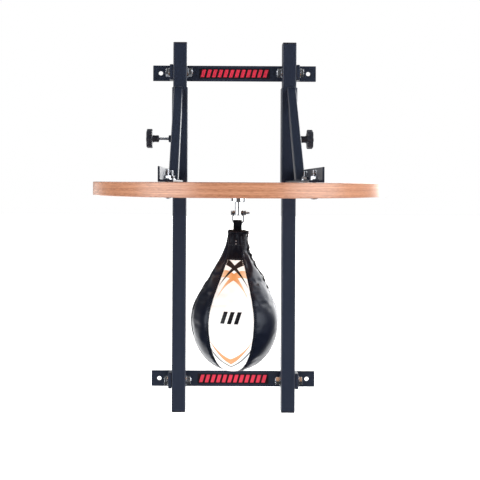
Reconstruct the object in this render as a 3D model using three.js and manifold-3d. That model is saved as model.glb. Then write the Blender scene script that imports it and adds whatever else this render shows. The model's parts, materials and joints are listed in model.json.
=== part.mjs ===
// Speed bag platform: a steel wall frame, a plywood board that slides up and down on the frame's
// two posts and is locked by two star knobs, and a speed bag that hangs from a swivel under it.
//
// Millimetres. +X is to the right of someone facing the wall, +Y goes into the wall, +Z is up.
// The origin is the centre of the upper crossbar's back face, which lies on the wall.

import * as THREE from 'three';
import { mergeVertices } from 'three/addons/utils/BufferGeometryUtils.js';
import Module from 'manifold-3d';

const wasm = await Module();
wasm.setup();

// ---------------------------------------------------------------- driving dimensions

const GAP = 0.3;                         // left between two faces that touch
const PAST = 1;                          // how far a cutting tool runs past the face that it cuts
const BITE = 1;                          // how far a piece that is joined on runs into its neighbour
const SMALL_ROUND = 8;                   // sides of a small screw, hole or wire
const ROUND = 12;                        // sides of a round fastener
const FINE_ROUND = 16;                   // sides of the pin's holes and the bladder
const LARGE_ROUND = 24;                  // sides of the swivel and the bag

const BAR = { length: 420, height: 40, thickness: 5, spacing: 787 };
const WALL_HOLE = { diameter: 11, spacing: 380 };
const EAR = { innerX: 157.5, thickness: 8, reach: 38, corner: 9, cornerSteps: 5 };

const POST = { size: 35, wall: 1.5, corner: 3, x: 139, top: 75, bottom: -865 };
const CAP = { plate: 3.5, plug: 14, plugClearance: 0.8, edge: 1.2 };
const LOCK_HOLE = { diameter: 9.6, pitch: 25, count: 19 };

const FRAME_BOLT = { shank: 12, hole: 13, acrossFlats: 19, head: 7.5, nut: 10, proud: 1.2 };
const FRAME_WASHER = { diameter: 24, thickness: 2.5 };

const SLEEVE = { size: 40, wall: 2, corner: 3, top: -40, bottom: -280 };
const BOSS = { diameter: 18, length: 9, bore: 8.4, z: -170 };

const BOARD = { diameter: 610, thickness: 28, centreY: -370, sides: 72 };
const ANGLE = { leg: 30, thickness: 4, front: -544 };
const BRACE = { width: 22, wall: 2, foot: -268, clearance: 0.5 };

const BOARD_BOLT = { shank: 8, hole: 9, x: 142, pitch: 156, stickUp: 24, domeRadius: 10, domeHeight: 4.5 };
const BOARD_NUT = { acrossFlats: 13, height: 8, flange: 18, flangeHeight: 1.8 };

const KNOB = { diameter: 50, head: 15, lobes: 7, valley: 3.6, hub: 18, hubLength: 17, edge: 2 };
const LOCK_BOLT = { shank: 7.7, insert: 12, reach: 35, threadPitch: 1.25, turnsOut: 19 };

const SWIVEL = { plate: 62, plateThickness: 3, body: 32, bodyHeight: 14, cavity: 25.2, lip: 4, mouth: 15.4 };
const BEARING = { outer: 24.4, inner: 15.6, height: 3 };
const STEM = { diameter: 14, head: 24, headHeight: 3.6, reach: 42 };
const SCREW = { shank: 4.2, hole: 4.9, head: 8.4, headHeight: 2.4, length: 16, circle: 47, count: 3 };

const PIN = { shank: 5, hole: 5.8, drop: 37, acrossFlats: 8, head: 4, end: 24.5, nut: 5.6 };
const SHACKLE = { wire: 3.2, eye: 10, eyeInnerX: 7.4, eyeThickness: 3.6, halfWidth: 11.4, drop: 20.5 };

const STRAP = { width: 18, thickness: 3, bore: 5.6, foot: -34 };
const BAG = { radius: 93, neck: 18.6, neckZ: -22.5, widestZ: -204.5, bottomZ: -313.8, skin: 3, lean: 2 };
const SHOULDER = { bellyRise: 55, neckFlare: 8.4, neckDrop: 67 };
const COLLAR = { radius: 15.5, roll: 4.5, z: -20 };
const BLADDER = {
  clearance: 1.8, skin: 1.6, shoulderZ: -78, stemTopZ: -46, stem: 5, stemBore: 2.4, stemRise: 6,
};
const LACE = {
  diameter: 2.8, eyelets: 7, firstZ: -44, lastZ: -134, halfGap: 5, azimuth: 84, clearance: 1, belowCollar: 10,
};

// ---------------------------------------------------------------- worked out from them

const LOCK_TRAVEL = LOCK_BOLT.threadPitch * LOCK_BOLT.turnsOut;
const POST_Y = -(BAR.thickness + GAP + POST.size / 2);
const SLEEVE_FRONT = POST_Y - SLEEVE.size / 2;
const BOARD_TOP = SLEEVE.bottom - GAP;
const BOARD_UNDER = BOARD_TOP - BOARD.thickness;
const BAR_HEIGHTS = { upper: 0, lower: -BAR.spacing };
const SIDES = { left: -1, right: 1 };

// ---------------------------------------------------------------- materials

const steel = new THREE.MeshStandardMaterial({ color: 0x23283a, roughness: 0.42, metalness: 0.25 });
const zinc = new THREE.MeshStandardMaterial({ color: 0xb9bcc0, roughness: 0.3, metalness: 0.9 });
const chrome = new THREE.MeshStandardMaterial({ color: 0xe4e6e8, roughness: 0.08, metalness: 1 });
const plastic = new THREE.MeshStandardMaterial({ color: 0x141416, roughness: 0.55, metalness: 0 });
const plywood = new THREE.MeshStandardMaterial({ color: 0xc48a5e, roughness: 0.45, metalness: 0 });
const leather = new THREE.MeshStandardMaterial({ color: 0x17171c, roughness: 0.28, metalness: 0 });
const latex = new THREE.MeshStandardMaterial({ color: 0x7c2f22, roughness: 0.7, metalness: 0 });
const cotton = new THREE.MeshStandardMaterial({ color: 0x0d0d0f, roughness: 0.85, metalness: 0 });

// ---------------------------------------------------------------- outlines and solids

function polygon(sides, radius) {
  const outline = new THREE.Shape();
  for (let i = 0; i < sides; i++) {
    const angle = (i / sides) * 2 * Math.PI;
    const point = [radius * Math.cos(angle), radius * Math.sin(angle)];
    if (i === 0) outline.moveTo(...point);
    else outline.lineTo(...point);
  }
  outline.closePath();
  return outline;
}

function hexagon(acrossFlats) {
  return polygon(6, acrossFlats / Math.sqrt(3));
}

function roundedSquare(size, radius) {
  const half = size / 2;
  const inner = half - radius;
  const outline = new THREE.Shape();
  outline.absarc(inner, inner, radius, 0, Math.PI / 2);
  outline.absarc(-inner, inner, radius, Math.PI / 2, Math.PI);
  outline.absarc(-inner, -inner, radius, Math.PI, 1.5 * Math.PI);
  outline.absarc(inner, -inner, radius, 1.5 * Math.PI, 2 * Math.PI);
  outline.closePath();
  return outline;
}

function through(points) {
  return new THREE.Shape(points.map(([x, y]) => new THREE.Vector2(x, y)));
}

// An outline drawn out from 0 to length along its own third axis.
function extrude(outline, length, hole = null, arcSteps = 3) {
  const shape = outline.clone();
  if (hole) shape.holes.push(hole);
  return new THREE.ExtrudeGeometry(shape, { depth: length, bevelEnabled: false, curveSegments: arcSteps });
}

const axisX = new THREE.Vector3(1, 0, 0);
const axisY = new THREE.Vector3(0, 1, 0);
const axisZ = new THREE.Vector3(0, 0, 1);

// The outline's two axes become Y and Z, and it is drawn out along +X.
function alongX(geometry) {
  return geometry.applyMatrix4(new THREE.Matrix4().makeBasis(axisY, axisZ, axisX));
}

// The outline's two axes become X and Z, and it is drawn out along -Y.
function towardsRoom(geometry) {
  return geometry.applyMatrix4(new THREE.Matrix4().makeBasis(axisX, axisZ, axisY.clone().negate()));
}

// A round solid about Z from a profile of [radius, height] points, lowest first.
function turned(profile, sides = ROUND) {
  const points = profile.map(([radius, height]) => new THREE.Vector2(radius, height));
  return new THREE.LatheGeometry(points, sides).rotateX(Math.PI / 2);
}

function toSolid(geometry) {
  const bare = geometry.clone();
  bare.deleteAttribute('normal');
  bare.deleteAttribute('uv');
  const merged = mergeVertices(bare);
  return new wasm.Manifold(new wasm.Mesh({
    numProp: 3,
    vertProperties: new Float32Array(merged.attributes.position.array),
    triVerts: new Uint32Array(merged.index.array),
  }));
}

function toGeometry(manifold) {
  const mesh = manifold.getMesh();
  const geometry = new THREE.BufferGeometry();
  geometry.setAttribute('position', new THREE.BufferAttribute(mesh.vertProperties, 3));
  geometry.setIndex(new THREE.BufferAttribute(mesh.triVerts, 1));
  return geometry;
}

function join(...geometries) {
  return toGeometry(geometries.map(toSolid).reduce((whole, piece) => whole.add(piece)));
}

function cut(geometry, ...tools) {
  return toGeometry(tools.map(toSolid).reduce((rest, tool) => rest.subtract(tool), toSolid(geometry)));
}

function rodX(diameter, fromX, toX, y, z, sides = ROUND) {
  return alongX(extrude(polygon(sides, diameter / 2), toX - fromX)).translate(fromX, y, z);
}

function rodZ(diameter, fromZ, toZ, x, y, sides = ROUND) {
  return extrude(polygon(sides, diameter / 2), toZ - fromZ).translate(x, y, fromZ);
}

function rodY(diameter, fromY, toY, x, z, sides = ROUND) {
  return towardsRoom(extrude(polygon(sides, diameter / 2), toY - fromY)).translate(x, toY, z);
}

function place(parent, name, geometry, material, position = [0, 0, 0]) {
  const mesh = new THREE.Mesh(geometry, material);
  mesh.name = name;
  mesh.position.set(...position);
  parent.add(mesh);
  return mesh;
}

const platform = new THREE.Group();

// ---------------------------------------------------------------- wall frame

// A flat bar with a wall hole near each end and, outside each post, an ear welded square to it.
function crossbar() {
  const bar = new THREE.BoxGeometry(BAR.length, BAR.thickness, BAR.height)
    .translate(0, -BAR.thickness / 2, 0);
  const back = BITE - BAR.thickness;
  const half = BAR.height / 2;
  const profile = new THREE.Shape();
  profile.moveTo(back, -half);
  profile.lineTo(back, half);
  profile.lineTo(-EAR.reach + EAR.corner, half);
  profile.absarc(-EAR.reach + EAR.corner, half - EAR.corner, EAR.corner, Math.PI / 2, Math.PI);
  profile.absarc(-EAR.reach + EAR.corner, EAR.corner - half, EAR.corner, Math.PI, 1.5 * Math.PI);
  profile.closePath();
  const ears = Object.values(SIDES).map((side) => {
    const innerX = side > 0 ? EAR.innerX : -EAR.innerX - EAR.thickness;
    return alongX(extrude(profile, EAR.thickness, null, EAR.cornerSteps)).translate(innerX, 0, 0);
  });
  const throughEar = EAR.thickness + PAST;
  const holes = Object.values(SIDES).flatMap((side) => [
    rodY(WALL_HOLE.diameter, -BAR.thickness - PAST, PAST, side * WALL_HOLE.spacing / 2, 0),
    rodX(FRAME_BOLT.hole, side * EAR.innerX - throughEar, side * EAR.innerX + throughEar, POST_Y, 0),
  ]);
  return cut(join(bar, ...ears), ...holes);
}

// A square tube, bolted through near both ends, with a row of lock holes in its outer wall.
function post(side) {
  const bottom = POST.bottom + CAP.plate + GAP;
  const top = POST.top - CAP.plate - GAP;
  const hollow = roundedSquare(POST.size - 2 * POST.wall, POST.corner - POST.wall);
  const tube = extrude(roundedSquare(POST.size, POST.corner), top - bottom, hollow)
    .translate(side * POST.x, POST_Y, bottom);
  const clear = POST.size / 2 + PAST;
  const boltHoles = Object.values(BAR_HEIGHTS).map((z) =>
    rodX(FRAME_BOLT.hole, side * POST.x - clear, side * POST.x + clear, POST_Y, z));
  const wallX = side * (POST.x + POST.size / 2 - POST.wall / 2);
  const reach = POST.wall / 2 + PAST;
  const lockHoles = Array.from({ length: LOCK_HOLE.count }, (_, i) => {
    const z = BOSS.z - i * LOCK_HOLE.pitch;
    return rodX(LOCK_HOLE.diameter, wallX - reach, wallX + reach, POST_Y, z, SMALL_ROUND);
  });
  return cut(tube, ...boltHoles, ...lockHoles);
}

// A plastic cap: a plate with a softened edge over the tube's end, and a square plug inside it.
function postCap() {
  const plate = new THREE.ExtrudeGeometry(roundedSquare(POST.size, POST.corner), {
    depth: CAP.plate - CAP.edge,
    bevelThickness: CAP.edge,
    bevelSize: CAP.edge,
    bevelOffset: -CAP.edge,
    bevelSegments: 1,
    curveSegments: 3,
  });
  const block = 2 * POST.size;
  const flat = cut(plate, new THREE.BoxGeometry(block, block, block).translate(0, 0, -block / 2));
  const half = POST.size / 2 - POST.wall - CAP.plugClearance;
  const square = through([[-half, -half], [half, -half], [half, half], [-half, half]]);
  const plug = extrude(square, CAP.plug + BITE).translate(0, 0, -CAP.plug);
  return join(flat, plug);
}

// A washer or nut about X, from 0 to its thickness.
function washerOrNut(outline, bore, thickness) {
  return alongX(extrude(outline, thickness, polygon(ROUND, bore / 2)));
}

// A hexagon-headed bolt about X: the head goes up from 0 and the shank goes down from it.
function hexBolt(acrossFlats, head, shank, length) {
  const tip = 1;
  const body = turned([[0, -length], [shank / 2 - tip, -length], [shank / 2, tip - length],
    [shank / 2, head / 2], [0, head / 2]]);
  return join(alongX(extrude(hexagon(acrossFlats), head)), body.rotateY(Math.PI / 2));
}

function frameFasteners(level, sideName) {
  const side = SIDES[sideName];
  const group = new THREE.Group();
  group.position.set(0, POST_Y, BAR_HEIGHTS[level]);
  group.rotation.z = side > 0 ? 0 : Math.PI;
  platform.add(group);

  const earFace = EAR.innerX + EAR.thickness;
  const postFace = POST.x - POST.size / 2;
  const underHead = earFace + FRAME_WASHER.thickness + 2 * GAP;
  const nutEnd = postFace - FRAME_WASHER.thickness - 2 * GAP - FRAME_BOLT.nut;
  const disc = polygon(ROUND, FRAME_WASHER.diameter / 2);
  const washer = washerOrNut(disc, FRAME_BOLT.hole, FRAME_WASHER.thickness);
  const nut = washerOrNut(hexagon(FRAME_BOLT.acrossFlats), FRAME_BOLT.shank + 2 * GAP, FRAME_BOLT.nut);
  const bolt = hexBolt(FRAME_BOLT.acrossFlats, FRAME_BOLT.head, FRAME_BOLT.shank,
    underHead - nutEnd + FRAME_BOLT.proud);

  const prefix = `${level}_${sideName}_frame`;
  place(group, `${prefix}_bolt`, bolt, zinc, [underHead, 0, 0]);
  place(group, `${prefix}_head_washer`, washer, zinc, [earFace + GAP, 0, 0]);
  place(group, `${prefix}_nut_washer`, washer.clone(), zinc,
    [postFace - GAP - FRAME_WASHER.thickness, 0, 0]);
  place(group, `${prefix}_nut`, nut, zinc, [nutEnd, 0, 0]);
}

for (const [level, z] of Object.entries(BAR_HEIGHTS)) {
  place(platform, `${level}_crossbar`, crossbar(), steel, [0, 0, z]);
}
for (const [sideName, side] of Object.entries(SIDES)) {
  place(platform, `${sideName}_post`, post(side), steel);
  place(platform, `${sideName}_post_top_cap`, postCap(), plastic,
    [side * POST.x, POST_Y, POST.top - CAP.plate]);
  const bottomCap = place(platform, `${sideName}_post_bottom_cap`, postCap(), plastic,
    [side * POST.x, POST_Y, POST.bottom + CAP.plate]);
  bottomCap.rotation.x = Math.PI;
  for (const level of Object.keys(BAR_HEIGHTS)) frameFasteners(level, sideName);
}

// ---------------------------------------------------------------- sliding carriage

// A square tube around the post, with a round threaded boss on its outer face.
function sleeve(side) {
  const height = SLEEVE.top - SLEEVE.bottom;
  const hollow = roundedSquare(SLEEVE.size - 2 * SLEEVE.wall, SLEEVE.corner - SLEEVE.wall);
  const tube = extrude(roundedSquare(SLEEVE.size, SLEEVE.corner), height, hollow)
    .translate(side * POST.x, POST_Y, SLEEVE.bottom);
  const face = POST.x + SLEEVE.size / 2;
  const ends = [side * (face - BITE), side * (face + BOSS.length)].sort((a, b) => a - b);
  const boss = rodX(BOSS.diameter, ...ends, POST_Y, BOSS.z);
  const inside = face - SLEEVE.wall - PAST;
  const reach = [side * inside, side * (face + BOSS.length + PAST)].sort((a, b) => a - b);
  return cut(join(tube, boss), rodX(BOSS.bore, ...reach, POST_Y, BOSS.z));
}

// An angle iron that lies on the board, its upright leg flush with the sleeve's outer face.
function angleIron(side) {
  const outer = POST.x + SLEEVE.size / 2;
  const inner = outer - ANGLE.leg;
  const thick = ANGLE.thickness;
  const section = new THREE.Shape();
  section.moveTo(side * inner, 0);
  section.lineTo(side * outer, 0);
  section.lineTo(side * outer, ANGLE.leg);
  section.lineTo(side * (outer - thick), ANGLE.leg);
  section.lineTo(side * (outer - thick), thick);
  section.lineTo(side * inner, thick);
  section.closePath();
  const start = SLEEVE_FRONT - GAP;
  const iron = towardsRoom(extrude(section, start - ANGLE.front)).translate(0, start, SLEEVE.bottom);
  const [under, over] = [SLEEVE.bottom - PAST, SLEEVE.bottom + thick + PAST];
  const holes = boltRows().map((y) => rodZ(BOARD_BOLT.hole, under, over, side * BOARD_BOLT.x, y));
  return cut(iron, ...holes);
}

// A square tube that slopes from the top of the sleeve down to the angle iron.
function brace(side) {
  const startY = SLEEVE_FRONT - GAP;
  const footZ = SLEEVE.bottom + ANGLE.thickness + GAP;
  const slope = Math.atan2(SLEEVE.top - footZ, startY - BRACE.foot);
  // A line parallel to the brace's upper face, that far below it, from sleeve to angle iron.
  const edge = (inset, overrun) => {
    const startZ = SLEEVE.top - inset / Math.cos(slope);
    const footY = startY - (startZ - footZ) / Math.tan(slope);
    return [
      [startY + overrun, startZ + overrun * Math.tan(slope)],
      [footY - overrun, footZ - overrun * Math.tan(slope)],
    ];
  };
  const prism = (insetTop, insetUnder, overrun, width) => {
    const [topStart, topFoot] = edge(insetTop, overrun);
    const [underStart, underFoot] = edge(insetUnder, overrun);
    const outline = through([topStart, topFoot, underFoot, underStart]);
    return alongX(extrude(outline, width)).translate(-width / 2, 0, 0);
  };
  const outside = prism(0, BRACE.width, 0, BRACE.width);
  const inside = prism(BRACE.wall, BRACE.width - BRACE.wall, 2 * BRACE.width, BRACE.width - 2 * BRACE.wall);
  const centreX = POST.x + SLEEVE.size / 2 - ANGLE.thickness - BRACE.clearance - BRACE.width / 2;
  return cut(outside, inside).translate(side * centreX, 0, 0);
}

// Where the board bolts stand along Y, front row first.
function boltRows() {
  return [-1, 0, 1].map((step) => BOARD.centreY + step * BOARD_BOLT.pitch);
}

function swivelScrewPlaces() {
  return Array.from({ length: SCREW.count }, (_, i) => {
    const angle = Math.PI / 2 + (i / SCREW.count) * 2 * Math.PI;
    return [SCREW.circle / 2 * Math.cos(angle), BOARD.centreY + SCREW.circle / 2 * Math.sin(angle)];
  });
}

function board() {
  const disc = extrude(polygon(BOARD.sides, BOARD.diameter / 2), BOARD.thickness)
    .translate(0, BOARD.centreY, BOARD_UNDER);
  const boltHoles = Object.values(SIDES).flatMap((side) => boltRows().map((y) =>
    rodZ(BOARD_BOLT.hole, BOARD_UNDER - PAST, BOARD_TOP + PAST, side * BOARD_BOLT.x, y)));
  const screwHoles = swivelScrewPlaces().map(([x, y]) =>
    rodZ(SCREW.hole, BOARD_UNDER - PAST, BOARD_UNDER + SCREW.length + PAST, x, y, SMALL_ROUND));
  return cut(disc, ...boltHoles, ...screwHoles);
}

// A carriage bolt about Z: a low dome under the board and a shank up through it.
function carriageBolt() {
  const arc = [];
  const steps = 3;
  for (let i = 0; i <= steps; i++) {
    const angle = (i / steps) * Math.PI / 2;
    arc.push([BOARD_BOLT.domeRadius * Math.sin(angle), -BOARD_BOLT.domeHeight * Math.cos(angle)]);
  }
  const shank = BOARD_BOLT.shank / 2;
  const chamfer = 1;
  const top = GAP + BOARD.thickness + GAP + BOARD_BOLT.stickUp;
  return turned([...arc, [shank, 0], [shank, top - chamfer], [shank - chamfer, top], [0, top]]);
}

// A nut about Z whose foot widens into a flange.
function flangeNut() {
  const flange = extrude(polygon(ROUND, BOARD_NUT.flange / 2), BOARD_NUT.flangeHeight);
  const body = extrude(hexagon(BOARD_NUT.acrossFlats), BOARD_NUT.height);
  const bore = rodZ(BOARD_BOLT.shank + 2 * GAP, -PAST, BOARD_NUT.height + PAST, 0, 0);
  return cut(join(flange, body), bore);
}

place(platform, 'platform_board', board(), plywood);
for (const [sideName, side] of Object.entries(SIDES)) {
  place(platform, `${sideName}_sleeve`, sleeve(side), steel);
  place(platform, `${sideName}_brace`, brace(side), steel);
  place(platform, `${sideName}_angle_iron`, angleIron(side), steel);
  boltRows().forEach((y, i) => {
    const row = ['front', 'middle', 'back'][i];
    const x = side * BOARD_BOLT.x;
    place(platform, `${sideName}_${row}_board_bolt`, carriageBolt(), zinc, [x, y, BOARD_UNDER - GAP]);
    place(platform, `${sideName}_${row}_board_nut`, flangeNut(), zinc,
      [x, y, SLEEVE.bottom + ANGLE.thickness + GAP]);
  });
}

// ---------------------------------------------------------------- lock knobs

// A star knob about X: its hub's face is at 0 and its lobed head is beyond the hub.
function starKnob() {
  const outline = new THREE.Shape();
  const pointsPerLobe = 6;
  const count = KNOB.lobes * pointsPerLobe;
  for (let i = 0; i < count; i++) {
    const angle = (i / count) * 2 * Math.PI;
    const radius = KNOB.diameter / 2 - KNOB.valley * (1 - Math.cos(KNOB.lobes * angle)) / 2;
    const point = [radius * Math.cos(angle), radius * Math.sin(angle)];
    if (i === 0) outline.moveTo(...point);
    else outline.lineTo(...point);
  }
  outline.closePath();
  const head = new THREE.ExtrudeGeometry(outline, {
    depth: KNOB.head - 2 * KNOB.edge,
    bevelThickness: KNOB.edge,
    bevelSize: KNOB.edge,
    bevelOffset: -KNOB.edge,
    bevelSegments: 1,
  });
  const hub = rodX(KNOB.hub, 0, KNOB.hubLength + BITE, 0, 0);
  const hole = rodX(LOCK_BOLT.shank + 2 * GAP, -PAST, LOCK_BOLT.insert + GAP, 0, 0);
  return cut(join(alongX(head).translate(KNOB.hubLength + KNOB.edge, 0, 0), hub), hole);
}

// The knob's threaded rod about X: one end is held in the hub and the other has a dog point.
function lockBolt() {
  const radius = LOCK_BOLT.shank / 2;
  const dog = { radius: radius - 1.5, length: 2 };
  return turned([[0, -LOCK_BOLT.reach], [dog.radius, -LOCK_BOLT.reach],
    [radius, dog.length - LOCK_BOLT.reach], [radius, LOCK_BOLT.insert], [0, LOCK_BOLT.insert]])
    .rotateY(Math.PI / 2);
}

for (const [sideName, side] of Object.entries(SIDES)) {
  // The right knob is screwed home in its post; the left one is backed out clear of its post.
  const backedOut = side > 0 ? 0 : LOCK_TRAVEL;
  const group = new THREE.Group();
  const hubFace = POST.x + SLEEVE.size / 2 + BOSS.length + GAP + backedOut;
  group.position.set(side * hubFace, POST_Y, BOSS.z);
  group.rotation.z = side > 0 ? 0 : Math.PI;
  platform.add(group);
  place(group, `${sideName}_lock_knob`, starKnob(), plastic);
  place(group, `${sideName}_lock_bolt`, lockBolt(), zinc);
}

// ---------------------------------------------------------------- swivel

// The swivel's own axis is Z and its height 0 is the board's underside.
const swivel = new THREE.Group();
swivel.position.set(0, BOARD.centreY, BOARD_UNDER);
platform.add(swivel);

// A round plate with a boss below it, hollow from the top, with a lip round the stem's mouth.
function swivelBase() {
  const top = -GAP;
  const plateBottom = top - SWIVEL.plateThickness;
  const bottom = -SWIVEL.bodyHeight;
  const body = SWIVEL.body / 2;
  const plate = SWIVEL.plate / 2;
  const chamfer = 1.5;
  const fillet = 1;
  const shape = turned([
    [SWIVEL.mouth / 2, bottom], [body - chamfer, bottom], [body, bottom + chamfer],
    [body, plateBottom - fillet], [body + fillet, plateBottom],
    [plate - fillet, plateBottom], [plate, plateBottom + fillet], [plate, top],
    [SWIVEL.cavity / 2, top], [SWIVEL.cavity / 2, bottom + SWIVEL.lip],
    [SWIVEL.mouth / 2, bottom + SWIVEL.lip], [SWIVEL.mouth / 2, bottom],
  ], LARGE_ROUND);
  const holes = swivelScrewPlaces().map(([x, y]) =>
    rodZ(SCREW.hole, plateBottom - PAST, top + PAST, x, y - BOARD.centreY, SMALL_ROUND));
  return cut(shape, ...holes);
}

function thrustBearing() {
  const hole = polygon(LARGE_ROUND, BEARING.inner / 2);
  return extrude(polygon(LARGE_ROUND, BEARING.outer / 2), BEARING.height, hole);
}

// A mushroom-headed stem that turns on the bearing, cross-drilled near its foot for the pin.
function swivelStem() {
  const radius = STEM.diameter / 2;
  const chamfer = 1.5;
  const headFoot = SWIVEL.lip - SWIVEL.bodyHeight + BEARING.height + 2 * GAP;
  const headTop = headFoot + STEM.headHeight;
  const stem = turned([
    [0, -STEM.reach], [radius - chamfer, -STEM.reach], [radius, chamfer - STEM.reach], [radius, headFoot],
    [STEM.head / 2, headFoot], [STEM.head / 2, headTop], [0, headTop],
  ], LARGE_ROUND);
  return cut(stem, rodX(PIN.hole, -radius - PAST, radius + PAST, 0, -PIN.drop, FINE_ROUND));
}

// A round-headed wood screw about Z, head at the bottom.
function woodScrew() {
  const head = SCREW.head / 2;
  const shank = SCREW.shank / 2;
  const point = 4;
  // 0.6 and 0.8 put this corner on the quarter ellipse of the domed head.
  const shoulder = [head * 0.6, -SCREW.headHeight * 0.8];
  return turned([[0, -SCREW.headHeight], shoulder, [head, 0], [shank, 0],
    [shank, SCREW.length - point], [0, SCREW.length]], SMALL_ROUND);
}

// A bow of round wire whose two flattened ends are drilled for the pin. Its origin is the pin.
function shackle() {
  const side = SHACKLE.halfWidth;
  const low = -SHACKLE.drop;
  const bend = 3.2;
  const corner = bend * 0.3;
  const eyeX = SHACKLE.eyeInnerX + SHACKLE.eyeThickness / 2;
  const inEye = -SHACKLE.eye / 2 + 0.6;
  const half = [[eyeX, inEye], [side, low / 2 - 1], [side, low + bend], [side - corner, low + corner],
    [side - bend, low]];
  const points = [...half, [0, low], ...half.map(([x, z]) => [-x, z]).reverse()];
  const path = new THREE.CatmullRomCurve3(points.map(([x, z]) => new THREE.Vector3(x, 0, z)));
  const section = polygon(SMALL_ROUND, SHACKLE.wire / 2);
  const wire = new THREE.ExtrudeGeometry(section, { steps: 24, extrudePath: path });
  const eyes = [SHACKLE.eyeInnerX, -SHACKLE.eyeInnerX - SHACKLE.eyeThickness].map((x) =>
    rodX(SHACKLE.eye, x, x + SHACKLE.eyeThickness, 0, 0));
  const across = side + SHACKLE.wire;
  return cut(join(wire, ...eyes), rodX(PIN.hole, -across, across, 0, 0, FINE_ROUND));
}

place(swivel, 'swivel_base', swivelBase(), chrome);
place(swivel, 'swivel_bearing', thrustBearing(), zinc, [0, 0, SWIVEL.lip - SWIVEL.bodyHeight + GAP]);
place(swivel, 'swivel_stem', swivelStem(), chrome);
swivelScrewPlaces().forEach(([x, y], i) => {
  place(swivel, `swivel_screw_${i + 1}`, woodScrew(), zinc,
    [x, y - BOARD.centreY, -SWIVEL.plateThickness - 2 * GAP]);
});

const pinHeadX = -(SHACKLE.eyeInnerX + SHACKLE.eyeThickness + GAP);
const pin = place(swivel, 'shackle_pin', hexBolt(PIN.acrossFlats, PIN.head, PIN.shank, PIN.end - pinHeadX),
  zinc, [pinHeadX, 0, -PIN.drop]);
pin.rotation.z = Math.PI;
const pinNut = washerOrNut(hexagon(PIN.acrossFlats), PIN.shank + 2 * GAP, PIN.nut);
place(swivel, 'shackle_pin_nut', pinNut, zinc, [-pinHeadX, 0, -PIN.drop]);
place(swivel, 'shackle', shackle(), chrome, [0, 0, -PIN.drop]);

// ---------------------------------------------------------------- bag

// The bag's own origin is the bottom of the shackle's bow, where its strap hangs.
const bag = new THREE.Group();
bag.position.set(0, BOARD.centreY, BOARD_UNDER - PIN.drop - SHACKLE.drop);
bag.rotation.y = THREE.MathUtils.degToRad(BAG.lean);
platform.add(bag);

// The pear outline, lowest point first, as [radius, height], drawn in from the surface by inset.
function pear(inset, steps) {
  const points = [];
  for (let i = 0; i < steps; i++) {
    const angle = (i / steps) * Math.PI / 2;
    points.push([(BAG.radius - inset) * Math.sin(angle),
      BAG.widestZ + (BAG.bottomZ + inset - BAG.widestZ) * Math.cos(angle)]);
  }
  const shoulder = new THREE.CubicBezierCurve(
    new THREE.Vector2(BAG.radius - inset, BAG.widestZ),
    new THREE.Vector2(BAG.radius - inset, BAG.widestZ + SHOULDER.bellyRise),
    new THREE.Vector2(BAG.neck + SHOULDER.neckFlare - inset, BAG.neckZ - SHOULDER.neckDrop),
    new THREE.Vector2(BAG.neck - inset, BAG.neckZ),
  );
  points.push(...shoulder.getPoints(steps + 2).map((point) => [point.x, point.y]));
  return points;
}

// The sewn leather skin, open at the neck, whose rim is rolled outwards.
function bagCover() {
  const roll = [-40, 10, 60, 110, 160, 200].map((degrees) => {
    const angle = THREE.MathUtils.degToRad(degrees);
    return [COLLAR.radius + COLLAR.roll * Math.cos(angle), COLLAR.z + COLLAR.roll * Math.sin(angle)];
  });
  return turned([...pear(0, 7), ...roll, ...pear(BAG.skin, 7).reverse()], LARGE_ROUND);
}

// The air bladder inside the skin, open at its filling stem.
function bladder() {
  const outside = BAG.skin + BLADDER.clearance;
  const wall = (inset, stemRadius) => {
    const belly = pear(inset, 4).filter(([, z]) => z < BLADDER.shoulderZ);
    const stemFoot = BLADDER.shoulderZ + BLADDER.stemRise - inset + outside;
    return [...belly, [stemRadius, stemFoot], [stemRadius, BLADDER.stemTopZ]];
  };
  const outer = wall(outside, BLADDER.stem);
  const inner = wall(outside + BLADDER.skin, BLADDER.stemBore);
  return turned([...outer, ...inner.reverse()], FINE_ROUND);
}

// A leather strap folded over the shackle's bow, its two layers stitched together below it.
function hangingStrap() {
  const fold = STRAP.bore / 2 + STRAP.thickness;
  const start = -Math.PI / 2 + Math.asin(STRAP.thickness / fold);
  const outline = new THREE.Shape();
  outline.moveTo(STRAP.thickness, STRAP.foot);
  outline.absarc(0, 0, fold, start, Math.PI - start);
  outline.lineTo(-STRAP.thickness, STRAP.foot);
  outline.closePath();
  const bore = new THREE.Path().absarc(0, 0, STRAP.bore / 2, 0, 2 * Math.PI);
  return alongX(extrude(outline, STRAP.width, bore, 10)).translate(-STRAP.width / 2, 0, 0);
}

// The lace runs down the bag's side from the collar, crossing the seam between two rows of eyelets.
function lace() {
  const radiusAt = (z) => {
    const points = pear(0, 40);
    const i = points.findIndex(([, height]) => height > z);
    const [[r0, z0], [r1, z1]] = [points[i - 1], points[i]];
    return r0 + (r1 - r0) * (z - z0) / (z1 - z0);
  };
  const lift = LACE.diameter / 2 + LACE.clearance;
  const middle = THREE.MathUtils.degToRad(90 - LACE.azimuth);
  const onSkin = (z, across) => {
    const radius = radiusAt(z) + lift;
    const angle = middle + across / radius;
    return new THREE.Vector3(radius * Math.cos(angle), -radius * Math.sin(angle), z);
  };
  const points = [onSkin(COLLAR.z - LACE.belowCollar, 0)];
  const step = (LACE.lastZ - LACE.firstZ) / (LACE.eyelets - 1);
  for (let i = 0; i < LACE.eyelets; i++) {
    const across = i % 2 ? LACE.halfGap : -LACE.halfGap;
    points.push(onSkin(LACE.firstZ + i * step, across));
  }
  const path = new THREE.CatmullRomCurve3(points);
  return new THREE.ExtrudeGeometry(polygon(6, LACE.diameter / 2), { steps: 28, extrudePath: path });
}

place(bag, 'hanging_strap', hangingStrap(), leather);
place(bag, 'bag_cover', bagCover(), leather);
place(bag, 'bag_bladder', bladder(), latex);
place(bag, 'bag_lace', lace(), cotton);

export default platform;
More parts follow.
